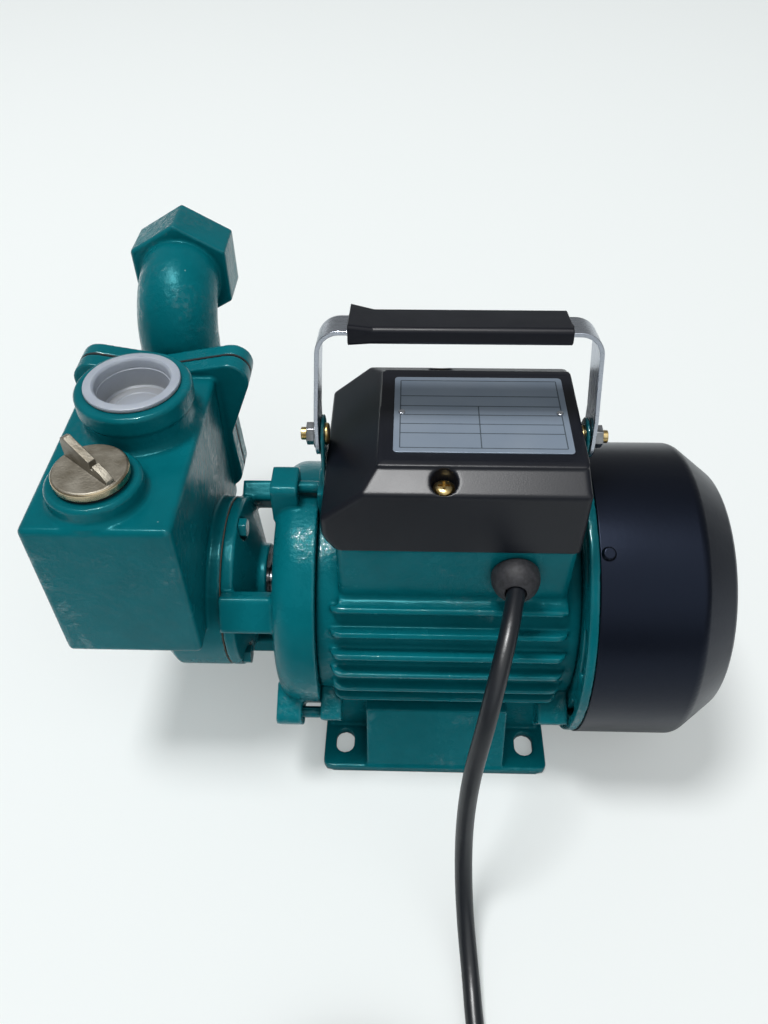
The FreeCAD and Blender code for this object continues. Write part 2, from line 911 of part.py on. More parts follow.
def impeller():
    disc = ring(impeller_left, impeller_right, impeller_r, impeller_seat_r + running_fit)
    pockets = []
    for k in range(vane_count):
        for side in (0, 1):
            left = impeller_left - 1 if side == 0 else (impeller_left + impeller_right + vane_web) / 2
            right = (impeller_left + impeller_right - vane_web) / 2 if side == 0 else impeller_right + 1
            pocket = box(
                left,
                right,
                -vane_pocket_width / 2,
                vane_pocket_width / 2,
                shaft_height + vane_root_r,
                shaft_height + impeller_r + 1,
            )
            pockets.append(about_shaft(pocket, 360.0 * k / vane_count))
    keyway = box(
        impeller_left - 1,
        impeller_right + 1,
        -key_size / 2 - fixed_fit,
        key_size / 2 + fixed_fit,
        shaft_height,
        shaft_height + impeller_seat_r + key_size / 2 + fixed_fit,
    )
    return disc.cut(pockets + [keyway])


def impeller_key():
    return box(
        impeller_left + 0.5,
        impeller_right - 0.5,
        -key_size / 2,
        key_size / 2,
        shaft_height + impeller_seat_r - key_size / 2,
        shaft_height + impeller_seat_r + key_size / 2,
    )


# Shaft and rotor

def shaft():
    steps = [
        (shaft_left, impeller_right, impeller_seat_r),
        (impeller_right, front_bearing_right, journal_r),
        (front_bearing_right, rear_bearing_x, core_seat_r),
        (rear_bearing_x, rear_flange_right + 4, journal_r),
        (rear_flange_right + 4, shaft_right, fan_seat_r),
    ]
    profile = [(shaft_left, 0)]
    for left, right, radius in steps:
        profile += [(left, radius), (right, radius)]
    profile.append((shaft_right, 0))
    bar = turned(profile)
    keyway = impeller_key()
    return bar.cut(keyway)


def rotor_core():
    rotor_r = stator_bore_r - air_gap
    return ring(-stator_half_length, stator_half_length, rotor_r, core_seat_r + fixed_fit)


def rotor_end_rings():
    rotor_r = stator_bore_r - air_gap
    rings = []
    for x in (-stator_half_length - end_ring_length, stator_half_length):
        rings.append(ring(x, x + end_ring_length, rotor_r - 0.5, end_ring_inner_r))
    return bundle(rings)


# Stator packet with open slots, and the two winding ends

def stator_core():
    core = ring(-stator_half_length, stator_half_length, housing_bore_r - fixed_fit, stator_bore_r)
    slots = []
    for k in range(slot_count):
        slot = box(
            -stator_half_length - 1,
            stator_half_length + 1,
            -1.6,
            1.6,
            shaft_height + stator_bore_r - 1,
            shaft_height + winding_outer_r - 4,
        )
        slots.append(about_shaft(slot, 360.0 * k / slot_count))
    return core.cut(slots)


def stator_windings():
    ends = []
    for side in (-1, 1):
        near = side * (stator_half_length + fixed_fit)
        far = side * winding_reach
        ends.append(
            turned(
                [
                    (near, winding_inner_r),
                    (near, winding_outer_r),
                    ((near + far) / 2, winding_outer_r),
                    (far, winding_outer_r - 4),
                    (far, winding_inner_r + 3),
                ]
            )
        )
    return bundle(ends)


# Ball bearings, the same size at both ends

def bearing(x, part):
    right = x + bearing_width
    pitch_r = (journal_r + bearing_outer_r) / 2
    groove_centre_x = x + bearing_width / 2
    torus = Part.makeTorus(pitch_r, ball_r + 0.05, V(groove_centre_x, 0, shaft_height), V(1, 0, 0))
    if part == "outer":
        return ring(x, right, bearing_outer_r, bearing_outer_r - race_wall).cut(torus)
    if part == "inner":
        return ring(x, right, journal_r + race_wall, journal_r + running_fit / 2).cut(torus)
    balls = []
    for k in range(ball_count):
        y, z = on_circle(360.0 * k / ball_count, pitch_r)
        balls.append(Part.makeSphere(ball_r, V(groove_centre_x, y, z)))
    return bundle(balls)


def wave_spring():
    left = rear_bearing_right
    return ring(left, left + 1.0, bearing_outer_r - 0.5, bearing_outer_r - race_wall + 0.4)


# Motor housing: finned barrel, terminal pedestal, foot, screw lugs and handle ears

def housing_fin():
    fin = box(
        fin_left,
        fin_right,
        -fin_thickness / 2,
        fin_thickness / 2,
        shaft_height + barrel_r - 2,
        shaft_height + fin_tip_r,
    )
    return rounded(fin, fin_corner_r, lambda e: middle(e).z > shaft_height + fin_tip_r - 0.1
                   and abs(middle(e).y) < 0.01)


def terminal_pedestal():
    tip_y, tip_z = on_circle(fin_top_angle, fin_tip_r)
    inner_y, inner_z = on_circle(fin_top_angle - 3, barrel_r - 1)
    half = [
        (-pedestal_half_width, pedestal_top),
        (-pedestal_half_width, pedestal_skirt_z),
        (tip_y, tip_z),
        (inner_y, inner_z),
    ]
    outline = half + [(-y, z) for y, z in half[::-1]]
    block = flat([(pedestal_left, y, z) for y, z in outline]).extrude(V(pedestal_right - pedestal_left, 0, 0))
    return rounded(block, 3.0, lambda e: abs(abs(middle(e).y) - pedestal_half_width) < 0.01
                   and abs(middle(e).z - (pedestal_top + pedestal_skirt_z) / 2) < 1)


def handle_ear(x_outer, side):
    """A flat ear rising from the barrel top to the handle pivot."""
    x0 = min(x_outer, x_outer - side * handle_ear_thickness)
    x1 = x0 + handle_ear_thickness
    top = rod(x0, x1, handle_ear_half_width, 0.0, pivot_z)
    root_half = handle_ear_half_width + 4.0
    plate = flat(
        [
            (x0, -root_half, shaft_height + barrel_r - 2),
            (x0, root_half, shaft_height + barrel_r - 2),
            (x0, handle_ear_half_width, pivot_z),
            (x0, -handle_ear_half_width, pivot_z),
        ]
    ).extrude(V(handle_ear_thickness, 0, 0))
    hole = rod(x0 - 1, x1 + 1, handle_bolt_r + fixed_fit, 0.0, pivot_z)
    return fuse([plate, top]).cut(hole)


def foot():
    plate = box(
        -plate_half_length, plate_half_length, -plate_half_width, plate_half_width, 0, plate_thickness
    )
    plate = rounded(plate, plate_corner_r, lambda e: abs(middle(e).z - plate_thickness / 2) < 0.01)
    web_outline = [
        (-web_base_half_width, plate_thickness / 2),
        (-web_base_half_width, plate_thickness + 1.5),
        (-web_top_half_width, web_top_z),
    ]
    web_outline += [(-y, z) for y, z in web_outline[::-1]]
    web = flat([(-web_half_length, y, z) for y, z in web_outline]).extrude(V(2 * web_half_length, 0, 0))
    saddle = box(
        -saddle_half_length, saddle_half_length, -saddle_half_width, saddle_half_width, 1, web_top_z
    )
    slots = []
    for x in (-slot_half_spacing_x, slot_half_spacing_x):
        for y in (-slot_half_spacing_y, slot_half_spacing_y):
            straight = (slot_length - slot_width) / 2
            slots.append(box(x - slot_width / 2, x + slot_width / 2, y - straight, y + straight, -1, 10))
            slots.append(rod_z(-1, 10, slot_width / 2, x, y - straight))
            slots.append(rod_z(-1, 10, slot_width / 2, x, y + straight))
    return fuse([plate, web, saddle]).cut(slots)


def motor_housing():
    pieces = [rod(housing_left, housing_right, barrel_r), terminal_pedestal(), foot()]
    fin = housing_fin()
    for k in range(fin_count):
        angle = fin_top_angle - k * fin_pitch_angle
        pieces.append(about_shaft(fin, angle))
        pieces.append(about_shaft(fin, 180 - angle))
    for angle in lug_angles:
        for left, right in (
            (housing_left, housing_left + housing_lug_length),
            (rear_lug_left, housing_right),
        ):
            lug = box(
                left,
                right,
                -lug_half_width,
                lug_half_width,
                shaft_height + barrel_r - 2,
                shaft_height + housing_lug_reach_r,
            )
            pieces.append(about_shaft(lug, angle))
    pieces.append(handle_ear(left_ear_outer, -1))
    pieces.append(handle_ear(right_ear_outer, 1))
    body = fuse(pieces)
    inner_half = pedestal_half_width - pedestal_wall
    cuts = [
        rod(housing_left - 1, housing_right + 1, housing_bore_r),
        box(
            pedestal_left + pedestal_wall,
            pedestal_right - pedestal_wall,
            -inner_half,
            inner_half,
            pedestal_floor_z,
            pedestal_top + 0.01,
        ),
        box(
            grommet_x - grommet_r - 3,
            grommet_x + grommet_r + 3,
            -inner_half,
            -inner_half + 7,
            grommet_z - grommet_lip_r - moving_gap,
            pedestal_floor_z + 1,
        ),
        rod_y(-pedestal_half_width - 1, -inner_half + 1, grommet_neck_r + fixed_fit, grommet_x, grommet_z),
        rod_z(shaft_height + housing_bore_r - 3, pedestal_floor_z + 1, 5.0, terminal_block_x, 22.0),
    ]
    posts = []
    for side in (-1, 1):
        posts.append(rod_z(pedestal_floor_z - 2, pedestal_top, 4.2, lid_screw_x, side * lid_screw_y))
    body = body.cut(cuts).fuse(posts)
    shell_trim = box(
        pedestal_left - 1,
        pedestal_right + 1,
        -pedestal_half_width - 10,
        -pedestal_half_width,
        pedestal_floor_z - 3,
        pedestal_top + 1,
    )
    other_trim = shell_trim.copy()
    other_trim.translate(V(0, 2 * pedestal_half_width + 10, 0))
    holes = [shell_trim, other_trim]
    lid_hole_r = lid_screw_r + fixed_fit
    tie_hole_r = tie_screw_r + fixed_fit
    for side in (-1, 1):
        holes.append(rod_z(pedestal_floor_z, pedestal_top + 1, lid_hole_r, lid_screw_x, side * lid_screw_y))
    for angle in lug_angles:
        y, z = on_circle(angle, tie_screw_pitch_r)
        holes.append(rod(housing_left - 1, housing_left + housing_lug_length - 1, tie_hole_r, y, z))
        holes.append(rod(rear_lug_left + 1, housing_right + 1, tie_hole_r, y, z))
    return body.cut(holes)


# Rear end shield with air windows and tabs that hold the fan cover

def rear_end_shield():
    flange = rod(housing_right, rear_flange_right, rear_flange_r)
    spigot_r = housing_bore_r - fixed_fit
    spigot = ring(housing_right - spigot_length, housing_right + 1, spigot_r, housing_bore_r - 3)
    hub = rod(rear_bearing_x - 1, housing_right + 1, hub_r)
    pieces = [flange, spigot, hub]
    tab_r = fan_cover_r - cover_skin - fixed_fit
    for angle in cover_screw_angles:
        tab = box(
            rear_flange_right - 1,
            cover_tab_right,
            -cover_tab_half_width,
            cover_tab_half_width,
            shaft_height + cover_tab_inner_r,
            shaft_height + tab_r + 5,
        ).common(rod(rear_flange_right - 1, cover_tab_right, tab_r))
        pieces.append(about_shaft(tab, angle))
    body = fuse(pieces)
    cuts = [
        rod(rear_bearing_x - 2, rear_bearing_right + 1.05, bearing_outer_r + fixed_fit),
        rod(rear_bearing_right, rear_flange_right + 1, journal_r + 1),
    ]
    for k in range(window_count):
        start = 30 + 360.0 * k / window_count - window_angle / 2
        cuts.append(
            turned(
                [
                    (housing_right - 1, window_inner_r),
                    (housing_right - 1, window_outer_r),
                    (rear_flange_right + 1, window_outer_r),
                    (rear_flange_right + 1, window_inner_r),
                ],
                angle=window_angle,
                start=start,
            )
        )
    for angle in lug_angles:
        y, z = on_circle(angle, tie_screw_pitch_r)
        cuts.append(rod(housing_right - 1, rear_flange_right + 1, tie_screw_r + fixed_fit, y, z))
    for angle in cover_screw_angles:
        hole = rod_z(shaft_height + cover_tab_inner_r - 1, shaft_height + fan_cover_r, 1.6, cover_screw_x, 0)
        cuts.append(about_shaft(hole, angle))
    return body.cut(cuts)


def shield_screws():
    screws = []
    for angle in lug_angles:
        y, z = on_circle(angle, tie_screw_pitch_r)
        front_seat = front_lug_left + tie_head_length
        front_end = housing_left + housing_lug_length - 1.5
        screws.append(hex_screw(front_seat, -tie_head_length, tie_head_r, front_end, tie_screw_r, y, z))
        rear_end = rear_lug_left + 2
        screws.append(hex_screw(rear_flange_right, tie_head_length, tie_head_r, rear_end, tie_screw_r, y, z))
    return bundle(screws)


# Cooling fan and its pressed steel cover

def fan():
    hub = rod(fan_left, fan_left + fan_width, fan_hub_r)
    plate = rod(fan_left, fan_left + fan_plate_thickness, fan_tip_r - 6)
    pieces = [hub, plate]
    for k in range(fan_blade_count):
        blade = box(
            fan_left,
            fan_left + fan_width - 2,
            -fan_blade_thickness / 2,
            fan_blade_thickness / 2,
            shaft_height + fan_hub_r - 1,
            shaft_height + fan_tip_r,
        )
        pieces.append(about_shaft(blade, 360.0 * k / fan_blade_count))
    return fuse(pieces).cut(rod(fan_left - 1, fan_left + fan_width + 1, fan_seat_r + running_fit))


def fan_clip():
    left = fan_left + fan_width
    return ring(left, left + 1.0, fan_seat_r + 2.5, fan_seat_r + running_fit)


def fan_cover():
    def shell(inset):
        right = fan_cover_right - inset
        radius = fan_cover_r - inset
        solid = turned(
            [
                (rear_flange_right, 0),
                (rear_flange_right, radius),
                (fan_cover_right - fan_cover_bevel_length - 0.4 * inset, radius),
                (right, fan_cover_r - fan_cover_bevel_depth - 0.4 * inset),
                (right, 0),
            ]
        )
        return rounded(solid, fan_cover_blend_r, lambda e: middle(e).x > rear_flange_right + 1
                       and len(e.Vertexes) == 1)

    cover = shell(0).cut(shell(cover_skin))
    spokes = []
    half_spoke = grille_spoke_width / 2
    for k in range(grille_spokes):
        spoke = box(
            fan_cover_right - 4,
            fan_cover_right + 2,
            -half_spoke,
            half_spoke,
            shaft_height,
            shaft_height + fan_cover_r,
        )
        spokes.append(about_shaft(spoke, 360.0 * k / grille_spokes + 30))
    slots = []
    for k in range(grille_rings):
        inner = grille_first_r + k * grille_ring_pitch
        slot = ring(fan_cover_right - 3, fan_cover_right + 1, inner + grille_slot_width, inner)
        slots.append(slot.cut(spokes))
    holes = []
    for angle in cover_screw_angles:
        hole = rod_z(shaft_height + fan_cover_r - 4, shaft_height + fan_cover_r + 2, 1.7, cover_screw_x, 0)
        holes.append(about_shaft(hole, angle))
    return cover.cut(slots + holes)


def fan_cover_screws():
    screws = []
    for angle in cover_screw_angles:
        seat_z = shaft_height + fan_cover_r + 0.05
        shank = rod_z(shaft_height + cover_tab_inner_r + 1, seat_z + 0.2, 1.5, cover_screw_x, 0)
        head = Part.makeCone(3.0, 2.2, 1.6, V(cover_screw_x, 0, seat_z), V(0, 0, 1))
        screws.append(about_shaft(fuse([shank, head]), angle))
    return bundle(screws)


# Terminal cover, its screws and the bare nameplate

def lid_hull(inset):
    """The cover's outer form, or its hollow when inset by the wall."""
    left = lid_left + inset
    right = lid_right - inset
    top = lid_top - inset
    base = pedestal_top - (1.0 if inset else 0.0)
    foot_left = lid_foot_left + inset
    side = [
        (foot_left, base),
        (foot_left, pedestal_top),
        (left + 1.4, pedestal_top + lid_foot_rise * 0.55),
        (left, pedestal_top + lid_foot_rise),
        (left, lid_shoulder_z - inset * 0.4),
        (lid_slope_top_x + inset * 0.4, top),
        (right - 0.7, top),
        (right, lid_band_z),
        (right, base),
    ]
    if not inset:
        side = side[1:]
    half_width = lid_half_width - inset
    length_body = flat([(x, -half_width, z) for x, z in side]).extrude(V(0, 2 * half_width, 0))
    half = [
        (-half_width, base),
        (-half_width, lid_band_z - inset * 0.4),
        (-lid_top_half_width + inset * 0.2, top),
    ]
    across = half + [(-y, z) for y, z in half[::-1]]
    cross_body = flat([(left - 1, y, z) for y, z in across]).extrude(V(right - left + 2, 0, 0))
    return length_body.common(cross_body).removeSplitter()


def terminal_cover():
    hull = lid_hull(0.0)
    outer = rounded(hull, lid_edge_r, lambda e: middle(e).z > pedestal_top + 0.1)
    posts = []
    for side in (-1, 1):
        posts.append(
            rod_z(pedestal_top, lid_top, lid_recess_r + 1.6, lid_screw_x, side * lid_screw_y).common(outer)
        )
    shell = fuse([outer.cut(lid_hull(lid_wall))] + posts)
    cuts = []
    for side in (-1, 1):
        y = side * lid_screw_y
        cuts.append(rod_z(lid_screw_seat_z, lid_top + 1, lid_recess_r, lid_screw_x, y))
        cuts.append(rod_z(pedestal_top - 1, lid_top, lid_screw_r + fixed_fit, lid_screw_x, y))
    for x in (plate_left + rivet_inset, plate_right - rivet_inset):
        cuts.append(rod_z(lid_top - lid_wall - 1, lid_top + 1, 0.9, x, 0))
    return shell.cut(cuts)


def cover_screws():
    screws = []
    for side in (-1, 1):
        y = side * lid_screw_y
        shank = rod_z(pedestal_floor_z + 2, lid_screw_seat_z + 1, lid_screw_r, lid_screw_x, y)
        head = rod_z(
            lid_screw_seat_z, lid_screw_seat_z + lid_screw_head_length, lid_screw_head_r, lid_screw_x, y
        )
        screws.append(fuse([shank, rounded(head, 0.8, lambda e: middle(e).z > lid_screw_seat_z + 2)]))
    return bundle(screws)


def nameplate():
    plate = box(
        plate_left,
        plate_right,
        -nameplate_half_width,
        nameplate_half_width,
        lid_top,
        lid_top + nameplate_thickness,
    )
    plate = rounded(plate, 1.5, lambda e: abs(middle(e).z - lid_top - nameplate_thickness / 2) < 0.01)
    holes = []
    for x in (plate_left + rivet_inset, plate_right - rivet_inset):
        holes.append(rod_z(lid_top - 1, lid_top + 2, 0.9, x, 0))
    return plate.cut(holes)


def nameplate_rivets():
    rivets = []
    face = lid_top + nameplate_thickness
    for x in (plate_left + rivet_inset, plate_right - rivet_inset):
        shank = rod_z(lid_top - lid_wall, face + 0.2, 0.8, x, 0)
        head = rod_z(face, face + 0.7, rivet_r, x, 0)
        rivets.append(fuse([shank, rounded(head, 0.4, lambda e: middle(e).z > face + 0.5)]))
    return bundle(rivets)


# Parts inside the terminal box

def capacitor():
    axis_z = pedestal_floor_z + capacitor_r + fixed_fit
    can = rod(capacitor_left, capacitor_left + capacitor_length, capacitor_r, 0.0, axis_z)
    can = rounded(can, 1.5, lambda e: len(e.Vertexes) == 1)
    return can.fuse(rod(capacitor_left - 6, capacitor_left + 1, 4.0, 0.0, axis_z))


def terminal_block():
    length, width, height = terminal_block_size
    x = terminal_block_x
    y = terminal_block_y
    top = pedestal_floor_z + height
    block = box(x - length / 2, x + length / 2, y - width / 2, y + width / 2, pedestal_floor_z, top)
    wells = []
    for row in (-9.0, 0.0, 9.0):
        for offset in (-5.0, 5.0):
            wells.append(rod_z(top - 4, top + 1, 2.2, x + offset, y + row))
    return block.cut(wells)


# Carrying handle: bent strap, moulded grip and the bolts it swings on

def leaned(shape):
    copy = shape.copy()
    copy.rotate(V(0, 0, pivot_z), V(1, 0, 0), -strap_lean)
    return copy


strap_top = pivot_z + strap_length


def strap_block(inset):
    """The strap's outer form, or the space inside it when inset by the thickness."""
    left = strap_left + inset
    right = strap_right - inset
    top = strap_top - inset
    bend_z = pivot_z + strap_straight_length
    half = strap_width / 2 + inset
    foot_z = pivot_z - inset
    outline = [
        (left, foot_z),
        (left, bend_z),
        (left + strap_draw_in, top),
        (right - strap_draw_in, top),
        (right, bend_z),
        (right, foot_z),
    ]
    block = flat([(x, -half, z) for x, z in outline]).extrude(V(0, 2 * half, 0))
    return rounded(block, strap_corner_r - inset, lambda e: middle(e).z > top - 1
                   and abs(middle(e).y) < 0.01)


def handle_strap():
    pieces = [strap_block(0.0).cut(strap_block(strap_thickness))]
    holes = []
    for x in (strap_left, strap_right - strap_thickness):
        pieces.append(rod(x, x + strap_thickness, strap_width / 2, 0.0, pivot_z))
        holes.append(rod(x - 1, x + strap_thickness + 1, handle_bolt_r + running_fit, 0.0, pivot_z))
    return leaned(fuse(pieces).cut(holes))


def handle_grip():
    half = grip_width / 2
    top = strap_top + grip_above_strap
    bottom = top - grip_height
    grip = box(grip_left, grip_right, -half, half, bottom, top)
    grip = rounded(grip, 2.2, lambda e: abs(middle(e).x - (grip_left + grip_right) / 2) < 0.01)
    sections = []
    for x, swell in ((grip_left, grip_flare), (grip_left + grip_flare_length, -0.2)):
        corners = [
            V(x, -half - swell, bottom + 0.2),
            V(x, half + swell, bottom + 0.2),
            V(x, half + swell, top + swell),
            V(x, -half - swell, top + swell),
        ]
        sections.append(Part.makePolygon(corners + corners[:1]))
    flare = Part.makeLoft(sections, True)
    flare = rounded(flare, 1.6, lambda e: abs(middle(e).x - grip_left - grip_flare_length / 2) < 0.01)
    slot = box(
        grip_left - 1,
        grip_right + 1,
        -strap_width / 2 - fixed_fit,
        strap_width / 2 + fixed_fit,
        strap_top - strap_thickness - fixed_fit,
        strap_top + fixed_fit,
    )
    return leaned(fuse([grip, flare]).cut(slot))


def handle_side(side):
    """x places at one end, from the bolt head outwards."""
    ear_outer = right_ear_outer if side > 0 else left_ear_outer
    strap_outer = strap_right if side > 0 else strap_left
    head_inner = ear_outer - side * (handle_ear_thickness + handle_bolt_head_length)
    washer_inner = strap_outer + side * fixed_fit
    nut_inner = washer_inner + side * handle_washer_thickness
    nut_outer = nut_inner + side * handle_nut_length
    return head_inner, washer_inner, nut_inner, nut_outer


def span(a, b):
    return min(a, b), max(a, b)


def handle_bolts():
    bolts = []
    for side in (-1, 1):
        head_inner, _, _, nut_outer = handle_side(side)
        low, high = span(head_inner, head_inner + side * handle_bolt_head_length)
        head = rod(low, high, handle_bolt_head_r, 0.0, pivot_z)
        head = rounded(head, 1.0, lambda e: abs(middle(e).x - head_inner) < 0.01)
        low, high = span(head_inner + side, nut_outer + side * 2.2)
        shank = rod(low, high, handle_bolt_r, 0.0, pivot_z)
        bolts.append(fuse([head, shank]))
    return bundle(bolts)


def handle_nuts():
    nuts = []
    for side in (-1, 1):
        _, _, nut_inner, nut_outer = handle_side(side)
        low, high = span(nut_inner, nut_outer)
        nut = hexagon(low, high, handle_nut_r, 0.0, pivot_z)
        nuts.append(nut.cut(rod(low - 1, high + 1, handle_bolt_r, 0.0, pivot_z)))
    return bundle(nuts)


def handle_washers():
    washers = []
    for side in (-1, 1):
        _, washer_inner, nut_inner, _ = handle_side(side)
        low, high = span(washer_inner, nut_inner)
        washer = rod(low, high, handle_washer_r, 0.0, pivot_z)
        washers.append(washer.cut(rod(low - 1, high + 1, handle_bolt_r, 0.0, pivot_z)))
    return bundle(washers)


# Mains cord: grommet, free tube, put-away coil, tail and plug

cord_start = V(*cord_points[0])
cord_direction = (V(*cord_points[1]) - cord_start).normalize()


def cable_grommet():
    ball = Part.makeSphere(grommet_r, V(grommet_x, grommet_y, grommet_z))
    wall_y = -pedestal_half_width
    reach = grommet_r + 1
    behind_wall = box(
        grommet_x - reach,
        grommet_x + reach,
        wall_y,
        grommet_y + reach,
        grommet_z - reach,
        grommet_z + reach,
    )
    mouth = Part.makeCylinder(cord_r + 0.6, grommet_r, cord_start, cord_direction)
    lip_y = wall_y + pedestal_wall + fixed_fit
    neck = rod_y(wall_y - 1, lip_y + 2.5, grommet_neck_r, grommet_x, grommet_z)
    lip = rod_y(lip_y, lip_y + 2.5, grommet_lip_r, grommet_x, grommet_z)
    return fuse([ball.cut(behind_wall), neck, lip]).cut(mouth)


def arc_radius(before, point, after):
    """The largest arc a corner's two runs allow: 0.45 of the shorter run over tan(half turn)."""
    run_in = (point - before).Length
    run_out = (after - point).Length
    turn = (point - before).getAngle(after - point)
    return 0.45 * min(run_in, run_out) / math.tan(turn / 2), turn


def cord_tube(points):
    route = [V(*p) for p in points]
    edges = []
    last = route[0]
    radii = []
    for before, point, after in zip(route, route[1:], route[2:]):
        radius, turn = arc_radius(before, point, after)
        radii.append(radius)
        reach = radius * math.tan(turn / 2)
        to_before = (before - point).normalize()
        to_after = (after - point).normalize()
        start = point + to_before * reach
        end = point + to_after * reach
        bisector = (to_before + to_after).normalize()
        centre = point + bisector * (radius / math.cos(turn / 2))
        mid = centre - bisector * radius
        edges.append(Part.LineSegment(last, start).toShape())
        edges.append(Part.Arc(start, mid, end).toShape())
        last = end
    edges.append(Part.LineSegment(last, route[-1]).toShape())
    path = Part.Wire(edges)
    section = Part.Wire(Part.makeCircle(cord_r, route[0], route[1] - route[0]))
    tube = path.makePipeShell([section], True, True)
    expected = math.pi * cord_r**2 * path.Length
    print(f"cord length {path.Length:.1f}, volume {tube.Volume:.0f} of {expected:.0f},", end=" ")
    print("radii", " ".join(f"{r:.0f}" for r in radii))
    return tube


coil_outer_r = coil_inner_turn_r + 2 * cord_r * (coil_columns - 0.5)


def cord_coil():
    inner_r = coil_inner_turn_r - cord_r
    height = 2 * cord_r * coil_layers
    coil = rod_z(0, height, coil_outer_r, coil_x, coil_y)
    coil = coil.cut(rod_z(-1, height + 1, inner_r, coil_x, coil_y))
    return rounded(coil, cord_r * 0.8, lambda e: len(e.Vertexes) == 1)


tail_end = V(*tail_points[-1])


def mains_plug():
    x0 = tail_end.x
    y = tail_end.y
    relief = Part.makeCone(
        cord_r + 2.2, cord_r + 5.5, plug_relief_length, V(x0, y, plug_axis_z), V(-1, 0, 0)
    )
    body_right = x0 - plug_relief_length + 1
    sections = []
    for share, width_share, height_share in ((0.0, 0.54, 0.72), (0.45, 0.86, 0.92), (1.0, 1.0, 1.0)):
        centre = V(body_right - share * plug_body_length, y, plug_axis_z)
        wide = centre + V(0, plug_half_width * width_share, 0)
        high = centre + V(0, 0, plug_half_height * height_share)
        sections.append(Part.Wire(Part.Ellipse(wide, high, centre).toShape()))
    body = Part.makeLoft(sections, True)
    return fuse([relief, body])


def plug_pins():
    right = tail_end.x - plug_relief_length + 1 - plug_body_length
    pins = []
    for side in (-1, 1):
        pin = rod(
            right - plug_pin_length, right, plug_pin_r, tail_end.y + side * plug_pin_half_spacing, plug_axis_z
        )
        pins.append(rounded(pin, 1.4, lambda e: abs(middle(e).x - right + plug_pin_length) < 0.01))
    return bundle(pins)


sub_parts = {
    "pump_body": pump_body,
    "outlet_cap": outlet_cap,
    "priming_plug": priming_plug,
    "plug_gasket": plug_gasket,
    "inlet_elbow": inlet_elbow,
    "inlet_gasket": inlet_gasket,
    "inlet_bolts": inlet_bolts,
    "check_valve_flap": check_valve_flap,
    "valve_weight": valve_weight,
    "flap_pin": flap_pin,
    "lantern_bracket": lantern_bracket,
    "casing_gasket": casing_gasket,
    "casing_screws": casing_screws,
    "seal_seat": seal_seat,
    "seal_head": seal_head,
    "water_slinger": water_slinger,
    "impeller": impeller,
    "impeller_key": impeller_key,
    "shaft": shaft,
    "rotor_core": rotor_core,
    "rotor_end_rings": rotor_end_rings,
    "stator_core": stator_core,
    "stator_windings": stator_windings,
    "wave_spring": wave_spring,
    "motor_housing": motor_housing,
    "rear_end_shield": rear_end_shield,
    "shield_screws": shield_screws,
    "fan": fan,
    "fan_clip": fan_clip,
    "fan_cover": fan_cover,
    "fan_cover_screws": fan_cover_screws,
    "terminal_cover": terminal_cover,
    "cover_screws": cover_screws,
    "nameplate": nameplate,
    "nameplate_rivets": nameplate_rivets,
    "capacitor": capacitor,
    "terminal_block": terminal_block,
    "handle_strap": handle_strap,
    "handle_grip": handle_grip,
    "handle_bolts": handle_bolts,
    "handle_nuts": handle_nuts,
    "handle_washers": handle_washers,
    "cable_grommet": cable_grommet,
    "cord_coil": cord_coil,
    "mains_plug": mains_plug,
    "plug_pins": plug_pins,
}

os.makedirs("parts", exist_ok=True)
for name, make in sub_parts.items():
    save(name, make())
for place, x in (("front", front_bearing_x), ("rear", rear_bearing_x)):
    for piece in ("outer", "inner", "balls"):
        save(f"{place}_bearing_{piece}", bearing(x, piece))
save("power_cord", cord_tube(cord_points))
save("cord_tail", cord_tube(tail_points))
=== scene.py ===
import math

import bpy
from mathutils import Matrix, Vector


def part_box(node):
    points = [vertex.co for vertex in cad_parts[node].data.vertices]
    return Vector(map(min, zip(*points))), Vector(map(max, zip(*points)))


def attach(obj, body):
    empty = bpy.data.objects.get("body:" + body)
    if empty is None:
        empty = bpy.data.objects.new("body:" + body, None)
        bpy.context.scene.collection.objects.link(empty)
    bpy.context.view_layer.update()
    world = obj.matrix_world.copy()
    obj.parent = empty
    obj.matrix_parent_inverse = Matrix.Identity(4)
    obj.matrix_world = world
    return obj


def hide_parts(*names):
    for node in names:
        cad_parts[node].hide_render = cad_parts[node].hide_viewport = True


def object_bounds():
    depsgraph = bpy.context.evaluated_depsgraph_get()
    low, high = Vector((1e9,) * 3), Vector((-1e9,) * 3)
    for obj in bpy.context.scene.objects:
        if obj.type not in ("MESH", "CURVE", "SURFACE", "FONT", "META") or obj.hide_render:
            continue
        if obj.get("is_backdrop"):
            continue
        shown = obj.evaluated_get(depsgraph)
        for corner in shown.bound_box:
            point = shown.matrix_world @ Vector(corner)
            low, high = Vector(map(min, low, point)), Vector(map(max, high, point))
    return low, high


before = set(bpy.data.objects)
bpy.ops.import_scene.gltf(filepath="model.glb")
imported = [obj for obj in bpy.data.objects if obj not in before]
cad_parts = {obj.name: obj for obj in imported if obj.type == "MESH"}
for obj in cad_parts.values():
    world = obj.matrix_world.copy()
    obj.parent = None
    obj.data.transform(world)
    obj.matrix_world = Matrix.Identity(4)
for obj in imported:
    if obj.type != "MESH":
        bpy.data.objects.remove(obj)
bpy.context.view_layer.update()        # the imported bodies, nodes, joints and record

mm = 0.001

# Camera
# The photographer stood over the pump and looked down on it at about 45 degrees, with the
# phone held a little out of level.
camera_place = (-0.0150, -0.2522, 0.3667)
sight_line = Vector((-0.0260, 0.7090, -0.7047))
out_of_level = math.radians(-0.712)
focal_length_px = 842.0
picture_height_px = 1024
sensor_mm = 36.0

